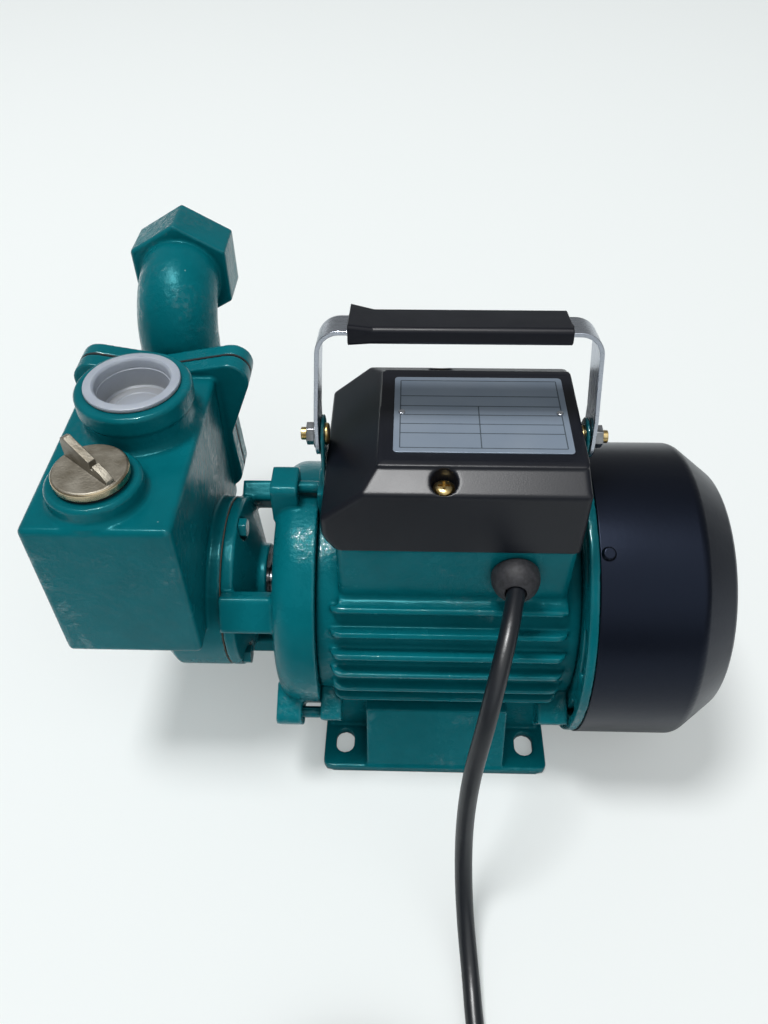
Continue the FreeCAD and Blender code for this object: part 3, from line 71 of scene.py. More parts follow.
bpy.ops.object.select_all(action="DESELECT")
aim = sight_line.to_track_quat("-Z", "Y").to_matrix() @ Matrix.Rotation(out_of_level, 3, "Z")
bpy.ops.object.camera_add(location=camera_place, rotation=aim.to_euler())
camera = bpy.context.object
camera.data.sensor_width = sensor_mm
camera.data.lens = focal_length_px / picture_height_px * sensor_mm
bpy.context.scene.camera = camera


# Cord
# Black PVC sheath, 7 mm round. It leaves the grommet straight, drops to the floor in one easy
# bow and runs out of the picture; the rest is wound into a neat coil, with the plug beside it.
def linear(code):
    """A colour written as six sRGB hex digits, as the linear one the shader takes."""
    shades = [int(code[k:k + 2], 16) / 255 for k in (0, 2, 4)]
    return tuple(s / 12.92 if s <= 0.04045 else ((s + 0.055) / 1.055) ** 2.4 for s in shades) + (1.0,)


def add_node(tree, kind, settings=None, **links):
    """Adds a node, with its settings, and its inputs as values or as links from other nodes."""
    node = tree.nodes.new(kind)
    for name, value in (settings or {}).items():
        setattr(node, name, value)
    for name, value in links.items():
        place = int(name[1:]) if name[0] == "i" and name[1:].isdigit() else name.replace("_", " ")
        if isinstance(value, bpy.types.NodeSocket):
            tree.links.new(value, node.inputs[place])
        else:
            node.inputs[place].default_value = value
    return node


def new_material(name, colour, roughness, metallic=0.0, specular=0.5):
    """A named material with its plain values set; returns it with its tree and its shader."""
    material = bpy.data.materials.new(name)
    material.use_nodes = True
    tree = material.node_tree
    shader = tree.nodes["Principled BSDF"]
    shader.inputs["Base Color"].default_value = linear(colour)
    shader.inputs["Roughness"].default_value = roughness
    shader.inputs["Metallic"].default_value = metallic
    shader.inputs["Specular IOR Level"].default_value = specular
    return material, tree, shader


cord_diameter = 7.0 * mm
cord_radius = cord_diameter / 2
# Points of the route in mm, from the grommet's mouth down to the floor and along it to the coil
cord_route = [
    (27.0, -46.8, 121.9),
    (24.8, -58.0, 121.8),
    (21.7, -70.0, 118.5),
    (18.0, -82.0, 110.5),
    (14.4, -92.0, 97.5),
    (10.8, -99.0, 79.0),
    (9.5, -103.6, 58.0),
    (9.4, -109.0, 40.0),
    (9.9, -118.0, 25.0),
    (11.1, -130.0, 12.5),
    (12.8, -146.0, 5.2),
    (13.6, -162.0, 3.6),
    (15.6, -180.0, 3.5),
    (16.5, -196.0, 3.5),
]
# The coil's turns by radius and height: three on the floor from the outside in, three on top of
# them from the inside out. Each changes to the next over the last 35 degrees of its stretch.
coil_middle = (-29.0, -216.0)
coil_slots = [(45.5, 3.5), (38.5, 3.5), (31.5, 3.5), (31.5, 10.5), (38.5, 10.5), (45.5, 10.5)]
points_per_turn = 16
slot_turn = 315.0
change_turn = 35.0
steps = round(points_per_turn * slot_turn / 360)
# The spline cuts inside its points, so they stand out by this share
spline_cuts_inside = 0.981

for slot_number, (turn_radius, turn_height) in enumerate(coil_slots):
    following = coil_slots[min(slot_number + 1, len(coil_slots) - 1)]
    for step in range(steps):
        turned = slot_turn * (slot_number + step / steps)
        crossing = max(0.0, (step / steps * slot_turn - (slot_turn - change_turn)) / change_turn)
        radius = turn_radius + (following[0] - turn_radius) * crossing
        height = turn_height + (following[1] - turn_height) * crossing
        bearing = -math.radians(turned)
        reach = radius / spline_cuts_inside
        x = coil_middle[0] + reach * math.cos(bearing)
        y = coil_middle[1] + reach * math.sin(bearing)
        cord_route.append((x, y, height))
cord_route += [
    (-27.0, -261.4, 10.5),
    (-42.0, -261.9, 10.6),
    (-58.0, -262.6, 11.8),
    (-72.0, -263.0, 12.8),
]

line = bpy.data.curves.new("mains_lead", "CURVE")
line.dimensions = "3D"
line.bevel_depth = cord_radius
line.bevel_resolution = 8
line.use_fill_caps = True
line.resolution_u = 8
spline = line.splines.new("NURBS")
spline.points.add(len(cord_route) - 1)
for point, place in zip(spline.points, cord_route):
    point.co = (place[0] * mm, place[1] * mm, place[2] * mm, 1.0)
spline.order_u = 3
spline.use_endpoint_u = True
mains_lead = bpy.data.objects.new("mains_lead", line)
bpy.context.collection.objects.link(mains_lead)

# Flexible PVC, extruded round the cores: a soft gloss, faintly uneven along its length.
pvc, tree, shader = new_material("extruded black PVC", "1b1e24", 0.34, specular=0.45)
place = add_node(tree, "ShaderNodeTexCoord").outputs["Object"]
waves = add_node(tree, "ShaderNodeTexNoise", Vector=place, Scale=220.0, Detail=3.0)
bump = add_node(tree, "ShaderNodeBump", Height=waves.outputs["Fac"], Strength=0.5, Distance=0.0002)
tree.links.new(bump.outputs["Normal"], shader.inputs["Normal"])
dust = add_node(tree, "ShaderNodeTexNoise", Vector=place, Scale=60.0, Detail=5.0)
tint = add_node(tree, "ShaderNodeValToRGB", Fac=dust.outputs["Fac"])
tint.color_ramp.elements[0].color = linear("0f1217")
tint.color_ramp.elements[1].color = linear("1c2027")
tree.links.new(tint.outputs["Color"], shader.inputs["Base Color"])
line.materials.append(pvc)
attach(mains_lead, "pump")
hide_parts("power_cord", "cord_coil", "cord_tail")


# Mains plug
# A two-pin plug moulded onto the lead in soft PVC, with finger ribs and a ribbed taper that
# keeps the lead from kinking; the pins are nickel-plated.
def select_only(piece):
    bpy.ops.object.select_all(action="DESELECT")
    piece.select_set(True)
    bpy.context.view_layer.objects.active = piece


def merged_copy(node, name, whole_faces=True):
    """A copy of a CAD node's mesh as a new piece, its loose triangles joined, if wanted into faces."""
    piece = bpy.data.objects.new(name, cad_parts[node].data.copy())
    bpy.context.collection.objects.link(piece)
    select_only(piece)
    bpy.ops.mesh.customdata_custom_splitnormals_clear()
    bpy.ops.object.mode_set(mode="EDIT")
    bpy.ops.mesh.select_all(action="SELECT")
    bpy.ops.mesh.remove_doubles(threshold=0.005 * mm)
    if whole_faces:
        bpy.ops.mesh.dissolve_limited(angle_limit=math.radians(0.4))
    bpy.ops.object.mode_set(mode="OBJECT")
    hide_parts(node)
    return piece


def apply_modifier(piece, kind, **settings):
    select_only(piece)
    modifier = piece.modifiers.new(kind.lower(), kind)
    for name, value in settings.items():
        setattr(modifier, name, value)
    bpy.ops.object.modifier_apply(modifier=modifier.name)


def soften_edges(piece, width, segments=3, sharper_than=28.0):
    """Rounds every edge that turns more than the given angle, and smooths what is left."""
    apply_modifier(
        piece, "BEVEL", width=width * mm, segments=segments, limit_method="ANGLE",
        angle_limit=math.radians(sharper_than), use_clamp_overlap=False, miter_outer="MITER_ARC",
    )
    select_only(piece)
    bpy.ops.object.shade_smooth_by_angle(angle=math.radians(38))
    apply_modifier(piece, "WEIGHTED_NORMAL", keep_sharp=True, weight=60)


def dress(piece, material, body=None):
    """Gives a piece its material and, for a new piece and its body."""
    piece.data.materials.clear()
    piece.data.materials.append(material)
    if body:
        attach(piece, body)
    return piece


def turned_piece(name, profile, middle, axis="Z", steps=64):
    """Spins a chain of (radius, height) points, in mm, once round an axis through middle."""
    bpy.ops.object.select_all(action="DESELECT")
    bpy.ops.mesh.primitive_plane_add(size=1.0, location=(0, 0, 0))
    piece = bpy.context.object
    piece.name = name
    bpy.ops.object.mode_set(mode="EDIT")
    bpy.ops.mesh.select_all(action="SELECT")
    bpy.ops.mesh.merge(type="CENTER")
    radius, height = profile[0]
    bpy.ops.transform.translate(value=(radius * mm, 0, height * mm))
    for next_radius, next_height in profile[1:]:
        move = ((next_radius - radius) * mm, 0, (next_height - height) * mm)
        bpy.ops.mesh.extrude_region_move(TRANSFORM_OT_translate={"value": move})
        radius, height = next_radius, next_height
    bpy.ops.mesh.select_all(action="SELECT")
    bpy.ops.mesh.spin(steps=steps, angle=math.tau, center=(0, 0, 0), axis=(0, 0, 1))
    bpy.ops.mesh.select_all(action="SELECT")
    bpy.ops.mesh.remove_doubles(threshold=0.002 * mm)
    bpy.ops.mesh.normals_make_consistent(inside=False)
    bpy.ops.object.mode_set(mode="OBJECT")
    turns = {"Z": (0, 0, 0), "-X": (0, -math.pi / 2, 0)}
    piece.rotation_euler = turns[axis]
    piece.location = [c * mm for c in middle]
    bpy.ops.object.transform_apply(location=True, rotation=True, scale=True)
    bpy.ops.object.shade_smooth_by_angle(angle=math.radians(32))
    return piece


def join_pieces(pieces, name):
    select_only(pieces[0])
    for piece in pieces[1:]:
        piece.select_set(True)
    if len(pieces) > 1:
        bpy.ops.object.join()
    pieces[0].name = name
    return pieces[0]


plug_axis = (-263.0, 13.0)
plug_right = -72.0
relief_length = 24.0
relief_thin_end_r = 5.9
relief_taper = 3.2
rib_count = 6
first_rib = 3.0
rib_pitch = 3.4
rib_foot = 1.0
rib_shoulder = 0.5
rib_crest = 0.7
rib_half_width = 0.9
shoulder_half_width = 0.6
plug_body = merged_copy("mains_plug", "moulded_plug")
soften_edges(plug_body, 1.2)
rib_rings = []
for k in range(rib_count):
    height = first_rib + rib_pitch * k
    ring_radius = relief_thin_end_r + relief_taper * height / relief_length
    ring_profile = [
        (ring_radius - rib_foot, height - rib_half_width),
        (ring_radius + rib_shoulder, height - shoulder_half_width),
        (ring_radius + rib_crest, height),
        (ring_radius + rib_shoulder, height + shoulder_half_width),
        (ring_radius - rib_foot, height + rib_half_width),
    ]
    middle = (plug_right, plug_axis[0], plug_axis[1])
    rib_rings.append(turned_piece("relief_rib_%d" % k, ring_profile, middle, "-X", 48))
relief_ribs = join_pieces(rib_rings, "plug_relief_ribs")
# Soft PVC moulded in a fine-blasted tool: a dull black with a faint grain
soft_pvc, tree, shader = new_material("moulded soft PVC", "1c1e22", 0.5, specular=0.4)
place = add_node(tree, "ShaderNodeTexCoord").outputs["Object"]
grain = add_node(tree, "ShaderNodeTexNoise", Vector=place, Scale=1400.0, Detail=2.0)
bump = add_node(tree, "ShaderNodeBump", Height=grain.outputs["Fac"], Strength=0.4, Distance=0.00006)
tree.links.new(bump.outputs["Normal"], shader.inputs["Normal"])
patches = add_node(tree, "ShaderNodeTexNoise", Vector=place, Scale=90.0, Detail=4.0)
spread = add_node(tree, "ShaderNodeMapRange", Value=patches.outputs["Fac"], To_Min=0.42, To_Max=0.6)
tree.links.new(spread.outputs["Result"], shader.inputs["Roughness"])
for piece in (plug_body, relief_ribs):
    dress(piece, soft_pvc, "pump")

# Nickel plate on turned brass: bright, with faint smears from handling
bright_plate, tree, shader = new_material("bright nickel plate", "b9bcc2", 0.24, metallic=1.0)
place = add_node(tree, "ShaderNodeTexCoord").outputs["Object"]
smears = add_node(tree, "ShaderNodeTexNoise", Vector=place, Scale=300.0, Detail=4.0)
spread = add_node(tree, "ShaderNodeMapRange", Value=smears.outputs["Fac"], To_Min=0.16, To_Max=0.36)
tree.links.new(spread.outputs["Result"], shader.inputs["Roughness"])
dress(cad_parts["plug_pins"], bright_plate)


# Painted castings
# Grey iron cast in green sand, dipped and sprayed in a thick teal enamel: pump tank, suction
# elbow, lantern bracket, motor housing and rear shield, and the screws painted in with them.
# The enamel pulls round on every edge and shows the sand's grit through it.
def cast_skin(piece, voxel, rounds, triangles):
    """Covers a casting with an even skin, drawn round on each edge and in each corner."""
    apply_modifier(piece, "REMESH", mode="VOXEL", voxel_size=voxel * mm, adaptivity=0.0)
    apply_modifier(piece, "SMOOTH", factor=0.5, iterations=rounds)
    share_kept = triangles / (2 * len(piece.data.polygons))
    apply_modifier(piece, "DECIMATE", decimate_type="COLLAPSE", ratio=share_kept)
    select_only(piece)
    bpy.ops.object.shade_smooth()
    apply_modifier(piece, "WEIGHTED_NORMAL", keep_sharp=False, weight=50)


enamel, tree, shader = new_material("teal enamel on cast iron", "08646e", 0.24, specular=0.2)
shader.inputs["Specular Tint"].default_value = linear("6fd6de")
shader.inputs["Coat Roughness"].default_value = 0.05
place = add_node(tree, "ShaderNodeTexCoord").outputs["Object"]
drift = add_node(tree, "ShaderNodeTexNoise", Vector=place, Scale=24.0, Detail=5.0, Roughness=0.6)
shade = add_node(tree, "ShaderNodeValToRGB", Fac=drift.outputs["Fac"])
shade.color_ramp.elements[0].position = 0.3
shade.color_ramp.elements[0].color = linear("025a63")
shade.color_ramp.elements[1].position = 0.72
shade.color_ramp.elements[1].color = linear("076c76")
# Sand grit of about 0.5 mm, drawn some 2 mm across so that it shows
sand = add_node(tree, "ShaderNodeTexNoise", Vector=place, Scale=420.0, Detail=6.0, Roughness=0.62)
lumps = add_node(tree, "ShaderNodeTexNoise", Vector=place, Scale=85.0, Detail=3.0)
low = add_node(tree, "ShaderNodeBump", Height=lumps.outputs["Fac"], Strength=0.5, Distance=0.0009)
# The grit lies in patches, where the mould's face was coarse
coarse = add_node(tree, "ShaderNodeTexNoise", Vector=place, Scale=31.0, Detail=3.0)
patch = add_node(
    tree, "ShaderNodeMapRange", Value=coarse.outputs["Fac"], From_Min=0.46, From_Max=0.62, To_Min=0.25,
    To_Max=1.0,
)
grit = add_node(
    tree, "ShaderNodeMath", {"operation": "MULTIPLY"}, i0=sand.outputs["Fac"], i1=patch.outputs["Result"],
)
fine = add_node(
    tree, "ShaderNodeBump", Height=grit.outputs["Value"], Strength=0.7, Distance=0.0005,
    Normal=low.outputs["Normal"],
)
tree.links.new(fine.outputs["Normal"], shader.inputs["Normal"])
tree.links.new(fine.outputs["Normal"], shader.inputs["Coat Normal"])
# Painted shade: the colour darkens to a deep teal in the corners, where the AO finds surfaces close
corner = add_node(tree, "ShaderNodeAmbientOcclusion", {"samples": 8}, Distance=0.006)
depth = add_node(tree, "ShaderNodeMapRange", Value=corner.outputs["AO"], From_Min=0.3, From_Max=0.9)
painted_corner_shade = add_node(
    tree, "ShaderNodeMix", {"data_type": "RGBA", "blend_type": "MIX"}, i0=depth.outputs["Result"],
    i6=linear("024048"), i7=shade.outputs["Color"],
)
# The enamel lies glossiest where it pulled round the edges, and on the grit's tops
sharpness = add_node(tree, "ShaderNodeNewGeometry").outputs["Pointiness"]
pulled = add_node(tree, "ShaderNodeMapRange", Value=sharpness, From_Min=0.51, From_Max=0.56, To_Max=0.8)
tops = add_node(
    tree, "ShaderNodeMapRange", Value=grit.outputs["Value"], From_Min=0.46, From_Max=0.6, To_Max=0.6,
)
gloss = add_node(
    tree, "ShaderNodeMath", {"operation": "MAXIMUM"}, i0=pulled.outputs["Result"],
    i1=tops.outputs["Result"],
)
tree.links.new(gloss.outputs["Value"], shader.inputs["Coat Weight"])
# Lighter teal on the sharpest edges: partly thin paint over primer, partly a painted edge highlight
edge_wear_and_highlight_mask = add_node(tree, "ShaderNodeMapRange", Value=sharpness, From_Min=0.54, From_Max=0.62)
lightening_mask = add_node(
    tree, "ShaderNodeMath", {"operation": "MULTIPLY"}, i0=edge_wear_and_highlight_mask.outputs["Result"],
    i1=patch.outputs["Result"],
)
worn_and_highlit_edges = add_node(
    tree, "ShaderNodeMix", {"data_type": "RGBA", "blend_type": "MIX"}, i0=lightening_mask.outputs["Value"],
    i6=painted_corner_shade.outputs[2], i7=linear("3f9199"),
)
# Knocks: pin-head spots where the enamel has sprung off to the pale primer
spots = add_node(tree, "ShaderNodeTexVoronoi", Vector=place, Scale=150.0)
near = add_node(tree, "ShaderNodeMapRange", Value=spots.outputs["Distance"], From_Min=0.05, From_Max=0.09)
rare = add_node(tree, "ShaderNodeTexNoise", Vector=place, Scale=38.0, Detail=2.0)
seldom = add_node(tree, "ShaderNodeMapRange", Value=rare.outputs["Fac"], From_Min=0.68, From_Max=0.7)
kept = add_node(
    tree, "ShaderNodeMath", {"operation": "SUBTRACT", "use_clamp": True}, i0=seldom.outputs["Result"],
    i1=near.outputs["Result"],
)
worn = add_node(
    tree, "ShaderNodeMix", {"data_type": "RGBA", "blend_type": "MIX"}, i0=kept.outputs["Value"],
    i6=worn_and_highlit_edges.outputs[2], i7=linear("8fb0ae"),
)
tree.links.new(worn.outputs[2], shader.inputs["Base Color"])
patchy = add_node(tree, "ShaderNodeMapRange", Value=drift.outputs["Fac"], To_Min=0.16, To_Max=0.36)
tree.links.new(patchy.outputs["Result"], shader.inputs["Roughness"])

# Node, piece, voxel in mm, rounds of smoothing, triangles kept
castings = [
    ("pump_body", "pump_tank_casting", 0.6, 3, 90000),
    ("inlet_elbow", "suction_elbow_casting", 0.6, 4, 50000),
    ("lantern_bracket", "lantern_casting", 0.7, 3, 80000),
    ("motor_housing", "motor_housing_casting", 0.7, 2, 150000),
    ("rear_end_shield", "rear_shield_casting", 0.7, 3, 50000),
]
for node, name, voxel, rounds, triangles in castings:
    casting = merged_copy(node, name, whole_faces=False)
    cast_skin(casting, voxel, rounds, triangles)
    dress(casting, enamel, "pump")
for node, name in (("casing_screws", "painted_casing_screws"), ("shield_screws", "painted_tie_screws")):
    screws = merged_copy(node, name)
    soften_edges(screws, 0.3)
    dress(screws, enamel, "pump")

# Outlet cap
# A push-in transport cap, blow-clear polyethylene gone slightly milky: a flat rim that sits on
# the boss and a thin cup below it, with a moulded step and a gate mark in the floor.
cap_middle = (-123.2, 15.2, 0.0)
# Radius and height in mm: the cup's floor, its inner wall, the rim, the outer wall, the underside
cap_profile = [
    (0.0, 158.9), (0.9, 158.9), (1.3, 158.5), (9.5, 158.5), (9.9, 158.8), (13.2, 158.8), (14.0, 159.4),
    (14.3, 160.4), (14.35, 167.2), (14.7, 167.5), (14.75, 170.6), (15.1, 171.4), (15.7, 171.9),
    (18.2, 171.9), (18.85, 171.6), (19.0, 171.0), (19.0, 170.45), (18.8, 170.1), (15.85, 170.05),
    (15.8, 169.6), (15.5, 158.3), (14.9, 157.55), (0.0, 157.5),
]
transport_cap = turned_piece("transport_cap", cap_profile, cap_middle, "Z", 128)
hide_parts("outlet_cap")
polyethylene, tree, shader = new_material("milky polyethylene", "c3c9d6", 0.38, specular=0.4)
shader.inputs["Transmission Weight"].default_value = 0.25
shader.inputs["Subsurface Weight"].default_value = 0.35
shader.inputs["Subsurface Radius"].default_value = (0.004, 0.004, 0.005)
place = add_node(tree, "ShaderNodeTexCoord").outputs["Object"]
haze = add_node(tree, "ShaderNodeTexNoise", Vector=place, Scale=120.0, Detail=4.0)
tint = add_node(tree, "ShaderNodeValToRGB", Fac=haze.outputs["Fac"])
tint.color_ramp.elements[0].color = linear("adb5c3")
tint.color_ramp.elements[1].color = linear("c6ceda")
# Painted shade: deep in the cup, where the AO finds walls close, the colour goes to a dim warm grey
cup_shade_ao = add_node(tree, "ShaderNodeAmbientOcclusion", {"samples": 8}, Distance=0.016)
depth = add_node(tree, "ShaderNodeMapRange", Value=cup_shade_ao.outputs["AO"], From_Min=0.25, From_Max=0.85)
painted_cup_shade = add_node(
    tree, "ShaderNodeMix", {"data_type": "RGBA", "blend_type": "MIX"}, i0=depth.outputs["Result"],
    i6=linear("8c8a86"), i7=tint.outputs["Color"],
)
tree.links.new(painted_cup_shade.outputs[2], shader.inputs["Base Color"])
bump = add_node(tree, "ShaderNodeBump", Height=haze.outputs["Fac"], Strength=0.4, Distance=0.0002)
tree.links.new(bump.outputs["Normal"], shader.inputs["Normal"])
dress(transport_cap, polyethylene, "cap")

# Priming plug and its seal
# A wing plug in cast brass with a dull nickel wash, shot-blasted on top; the rim of its head is
# turned bright. It closes on a flat rubber ring.
priming_plug = merged_copy("priming_plug", "wing_plug")
soften_edges(priming_plug, 0.35)
# Blasted metal: a dull, finely pitted skin, stained warm in patches
blasted, tree, shader = new_material("shot-blasted nickel-washed brass", "7c766a", 0.5, metallic=0.85)
place = add_node(tree, "ShaderNodeTexCoord").outputs["Object"]
shot = add_node(tree, "ShaderNodeTexNoise", Vector=place, Scale=1100.0, Detail=4.0)
bump = add_node(tree, "ShaderNodeBump", Height=shot.outputs["Fac"], Strength=0.7, Distance=0.0002)
tree.links.new(bump.outputs["Normal"], shader.inputs["Normal"])
stain = add_node(tree, "ShaderNodeTexNoise", Vector=place, Scale=130.0, Detail=6.0)
tint = add_node(tree, "ShaderNodeValToRGB", Fac=stain.outputs["Fac"])
tint.color_ramp.elements[0].position = 0.32
tint.color_ramp.elements[0].color = linear("666054")
tint.color_ramp.elements[1].position = 0.66
tint.color_ramp.elements[1].color = linear("8b867b")
tree.links.new(tint.outputs["Color"], shader.inputs["Base Color"])
dress(priming_plug, blasted, "plug")
# Turned metal: bright, with the fine rings that the tool left
turned_bright, tree, shader = new_material("turned bright brass", "b8a88c", 0.24, metallic=1.0)
place = add_node(tree, "ShaderNodeTexCoord").outputs["Object"]
lathe_marks = add_node(
    tree, "ShaderNodeTexWave", {"wave_type": "BANDS", "bands_direction": "Z"}, Vector=place, Scale=900.0,
    Distortion=1.5,
)
bump = add_node(tree, "ShaderNodeBump", Height=lathe_marks.outputs["Fac"], Strength=0.3, Distance=0.00005)
tree.links.new(bump.outputs["Normal"], shader.inputs["Normal"])
priming_plug.data.materials.append(turned_bright)
plug_middle = Vector((-129.3, -29.0, 0.0)) * mm
turned_beyond_r = 13.7 * mm
turned_below_z = 165.2 * mm
steepest_top = 0.8
for face in priming_plug.data.polygons:
    away = face.center - plug_middle
    at_rim = math.hypot(away.x, away.y) > turned_beyond_r and face.center.z < turned_below_z
    if at_rim and abs(face.normal.z) < steepest_top:
        face.material_index = 1

# Moulded rubber: matt, greyed in places by its bloom
soft_rubber, tree, shader = new_material("moulded black rubber", "17181a", 0.62, specular=0.35)
place = add_node(tree, "ShaderNodeTexCoord").outputs["Object"]
bloom = add_node(tree, "ShaderNodeTexNoise", Vector=place, Scale=140.0, Detail=5.0)
tint = add_node(tree, "ShaderNodeValToRGB", Fac=bloom.outputs["Fac"])
tint.color_ramp.elements[0].color = linear("131416")
tint.color_ramp.elements[1].color = linear("2b2c2f")
tree.links.new(tint.outputs["Color"], shader.inputs["Base Color"])
grain = add_node(tree, "ShaderNodeTexNoise", Vector=place, Scale=1500.0, Detail=2.0)
bump = add_node(tree, "ShaderNodeBump", Height=grain.outputs["Fac"], Strength=0.5, Distance=0.00008)
tree.links.new(bump.outputs["Normal"], shader.inputs["Normal"])
for node in ("plug_gasket", "inlet_gasket", "check_valve_flap", "seal_head", "water_slinger"):
    dress(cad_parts[node], soft_rubber)

# Flange bolts
# Cold-headed hexagon bolts that hold the suction elbow to the tank, put in after the paint. Their
# zinc plate is a bright grey, clouded where it has begun to bloom.
zinc, tree, shader = new_material("bright zinc plate", "a8abb0", 0.3, metallic=1.0)
place = add_node(tree, "ShaderNodeTexCoord").outputs["Object"]
bloom = add_node(tree, "ShaderNodeTexNoise", Vector=place, Scale=260.0, Detail=5.0)
tint = add_node(tree, "ShaderNodeValToRGB", Fac=bloom.outputs["Fac"])
tint.color_ramp.elements[0].position = 0.35
tint.color_ramp.elements[0].color = linear("8b8d90")
tint.color_ramp.elements[1].color = linear("bfc2c8")
tree.links.new(tint.outputs["Color"], shader.inputs["Base Color"])
spread = add_node(tree, "ShaderNodeMapRange", Value=bloom.outputs["Fac"], To_Min=0.2, To_Max=0.45)
tree.links.new(spread.outputs["Result"], shader.inputs["Roughness"])
flange_bolts = merged_copy("inlet_bolts", "flange_bolts")
soften_edges(flange_bolts, 0.3)
dress(flange_bolts, zinc, "pump")

# Fan cover
# Deep-drawn sheet steel with a slotted grille in its end, held by three small screws. Both are
# sprayed in black enamel, a satin gloss with a faint orange peel and a painted bluish reflection.
shroud = merged_copy("fan_cover", "fan_shroud")
soften_edges(shroud, 0.4)
black_enamel, tree, shader = new_material("black enamel on drawn steel", "04060d", 0.26, specular=0.34)
# Painted reflection: the specular tint gives every reflection on it a bluish light
shader.inputs["Specular Tint"].default_value = linear("a9bbe6")
place = add_node(tree, "ShaderNodeTexCoord").outputs["Object"]
peel = add_node(tree, "ShaderNodeTexNoise", Vector=place, Scale=520.0, Detail=2.0)
bump = add_node(tree, "ShaderNodeBump", Height=peel.outputs["Fac"], Strength=0.25, Distance=0.00008)
tree.links.new(bump.outputs["Normal"], shader.inputs["Normal"])
film = add_node(tree, "ShaderNodeTexNoise", Vector=place, Scale=18.0, Detail=4.0)
spread = add_node(tree, "ShaderNodeMapRange", Value=film.outputs["Fac"], To_Min=0.24, To_Max=0.38)
tree.links.new(spread.outputs["Result"], shader.inputs["Roughness"])
dress(shroud, black_enamel, "pump")
cover_fixings = merged_copy("fan_cover_screws", "fan_cover_fixings")
soften_edges(cover_fixings, 0.3)
dress(cover_fixings, black_enamel, "pump")

# Terminal cover
# One deep moulding in black ABS with a fine spark-eroded grain, screwed down on the pedestal. The
# edges round its top face are softly rounded, the others a little.
lid = merged_copy("terminal_cover", "terminal_box_lid")
lid_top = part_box("terminal_cover")[1].z
top_band = 0.3 * mm
rim_round = 3.5 * mm
shortest_rim = 6.0 * mm
bpy.ops.object.mode_set(mode="EDIT")
bpy.ops.mesh.select_mode(type="EDGE")
bpy.ops.mesh.select_all(action="DESELECT")
bpy.ops.object.mode_set(mode="OBJECT")
points = lid.data.vertices
for edge in lid.data.edges:
    one, other = (points[k].co for k in edge.vertices)
    at_top = min(one.z, other.z) > lid_top - top_band
    edge.select = at_top and (one - other).length > shortest_rim
bpy.ops.object.mode_set(mode="EDIT")
bpy.ops.mesh.bevel(offset=rim_round, segments=6, affect="EDGES")
bpy.ops.mesh.select_mode(type="VERT")
bpy.ops.object.mode_set(mode="OBJECT")
cast_skin(lid, 0.5, 8, 90000)
abs_plastic, tree, shader = new_material("grained black ABS", "10131b", 0.34, specular=0.26)
place = add_node(tree, "ShaderNodeTexCoord").outputs["Object"]
grain = add_node(tree, "ShaderNodeTexNoise", Vector=place, Scale=1800.0, Detail=3.0)
bump = add_node(tree, "ShaderNodeBump", Height=grain.outputs["Fac"], Strength=0.35, Distance=0.00006)
tree.links.new(bump.outputs["Normal"], shader.inputs["Normal"])
handling = add_node(tree, "ShaderNodeTexNoise", Vector=place, Scale=30.0, Detail=6.0)
spread = add_node(tree, "ShaderNodeMapRange", Value=handling.outputs["Fac"], To_Min=0.28, To_Max=0.42)
tree.links.new(spread.outputs["Result"], shader.inputs["Roughness"])
tint = add_node(tree, "ShaderNodeValToRGB", Fac=handling.outputs["Fac"])
tint.color_ramp.elements[0].color = linear("0d0f16")
tint.color_ramp.elements[1].color = linear("161922")
tree.links.new(tint.outputs["Color"], shader.inputs["Base Color"])
dress(lid, abs_plastic, "pump")

# Lid screws
# Two pan-head screws with a cross recess, sunk in round wells of the lid. Their zinc is passivated
# yellow: a brassy shine that shifts from spot to spot.
brassy, tree, shader = new_material("yellow chromate on steel", "b89a5e", 0.28, metallic=1.0)
place = add_node(tree, "ShaderNodeTexCoord").outputs["Object"]
sheen = add_node(tree, "ShaderNodeTexNoise", Vector=place, Scale=400.0, Detail=3.0)
tint = add_node(tree, "ShaderNodeValToRGB", Fac=sheen.outputs["Fac"])
tint.color_ramp.elements[0].position = 0.35
tint.color_ramp.elements[0].color = linear("9c7f45")
tint.color_ramp.elements[1].position = 0.7
tint.color_ramp.elements[1].color = linear("cdb98a")
tree.links.new(tint.outputs["Color"], shader.inputs["Base Color"])


def cross_recess(piece, middle, size, depth):
    """Cuts a screwdriver's cross into a head that faces up at middle, in mm."""
    blade_share = 0.22
    for turn in (0.0, math.pi / 2):
        bpy.ops.object.select_all(action="DESELECT")
        bpy.ops.mesh.primitive_cube_add(size=1.0, location=[c * mm for c in middle], rotation=(0, 0, turn))
        blade = bpy.context.object
        blade.scale = (size * mm, size * blade_share * mm, depth * 2 * mm)
        bpy.ops.object.transform_apply(location=True, rotation=True, scale=True)
        apply_modifier(piece, "BOOLEAN", operation="DIFFERENCE", object=blade, solver="EXACT")
        bpy.data.objects.remove(blade)


lid_screw_x = -1.6
lid_screw_y = 33.5
lid_screw_seat = 160.0
pan_height = 3.1
recess_width = 4.4
recess_depth = 1.7
# Radius and height in mm, over the domed head and down the shank
pan_profile = [
    (0.0, pan_height), (2.0, 3.0), (3.2, 2.6), (3.95, 1.7), (4.1, 0.7), (4.05, 0.1), (3.8, 0.0), (2.0, 0.0),
    (2.0, -9.0), (1.2, -10.0), (0.0, -10.0),
]
heads = []
for side in (-1, 1):
    seat = (lid_screw_x, side * lid_screw_y, lid_screw_seat)
    head = turned_piece("pan_head", pan_profile, seat, "Z", 40)
    cross_recess(head, (seat[0], seat[1], seat[2] + pan_height), recess_width, recess_depth)
    heads.append(head)
lid_screws = join_pieces(heads, "lid_screws")
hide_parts("cover_screws")
dress(lid_screws, brassy, "pump")

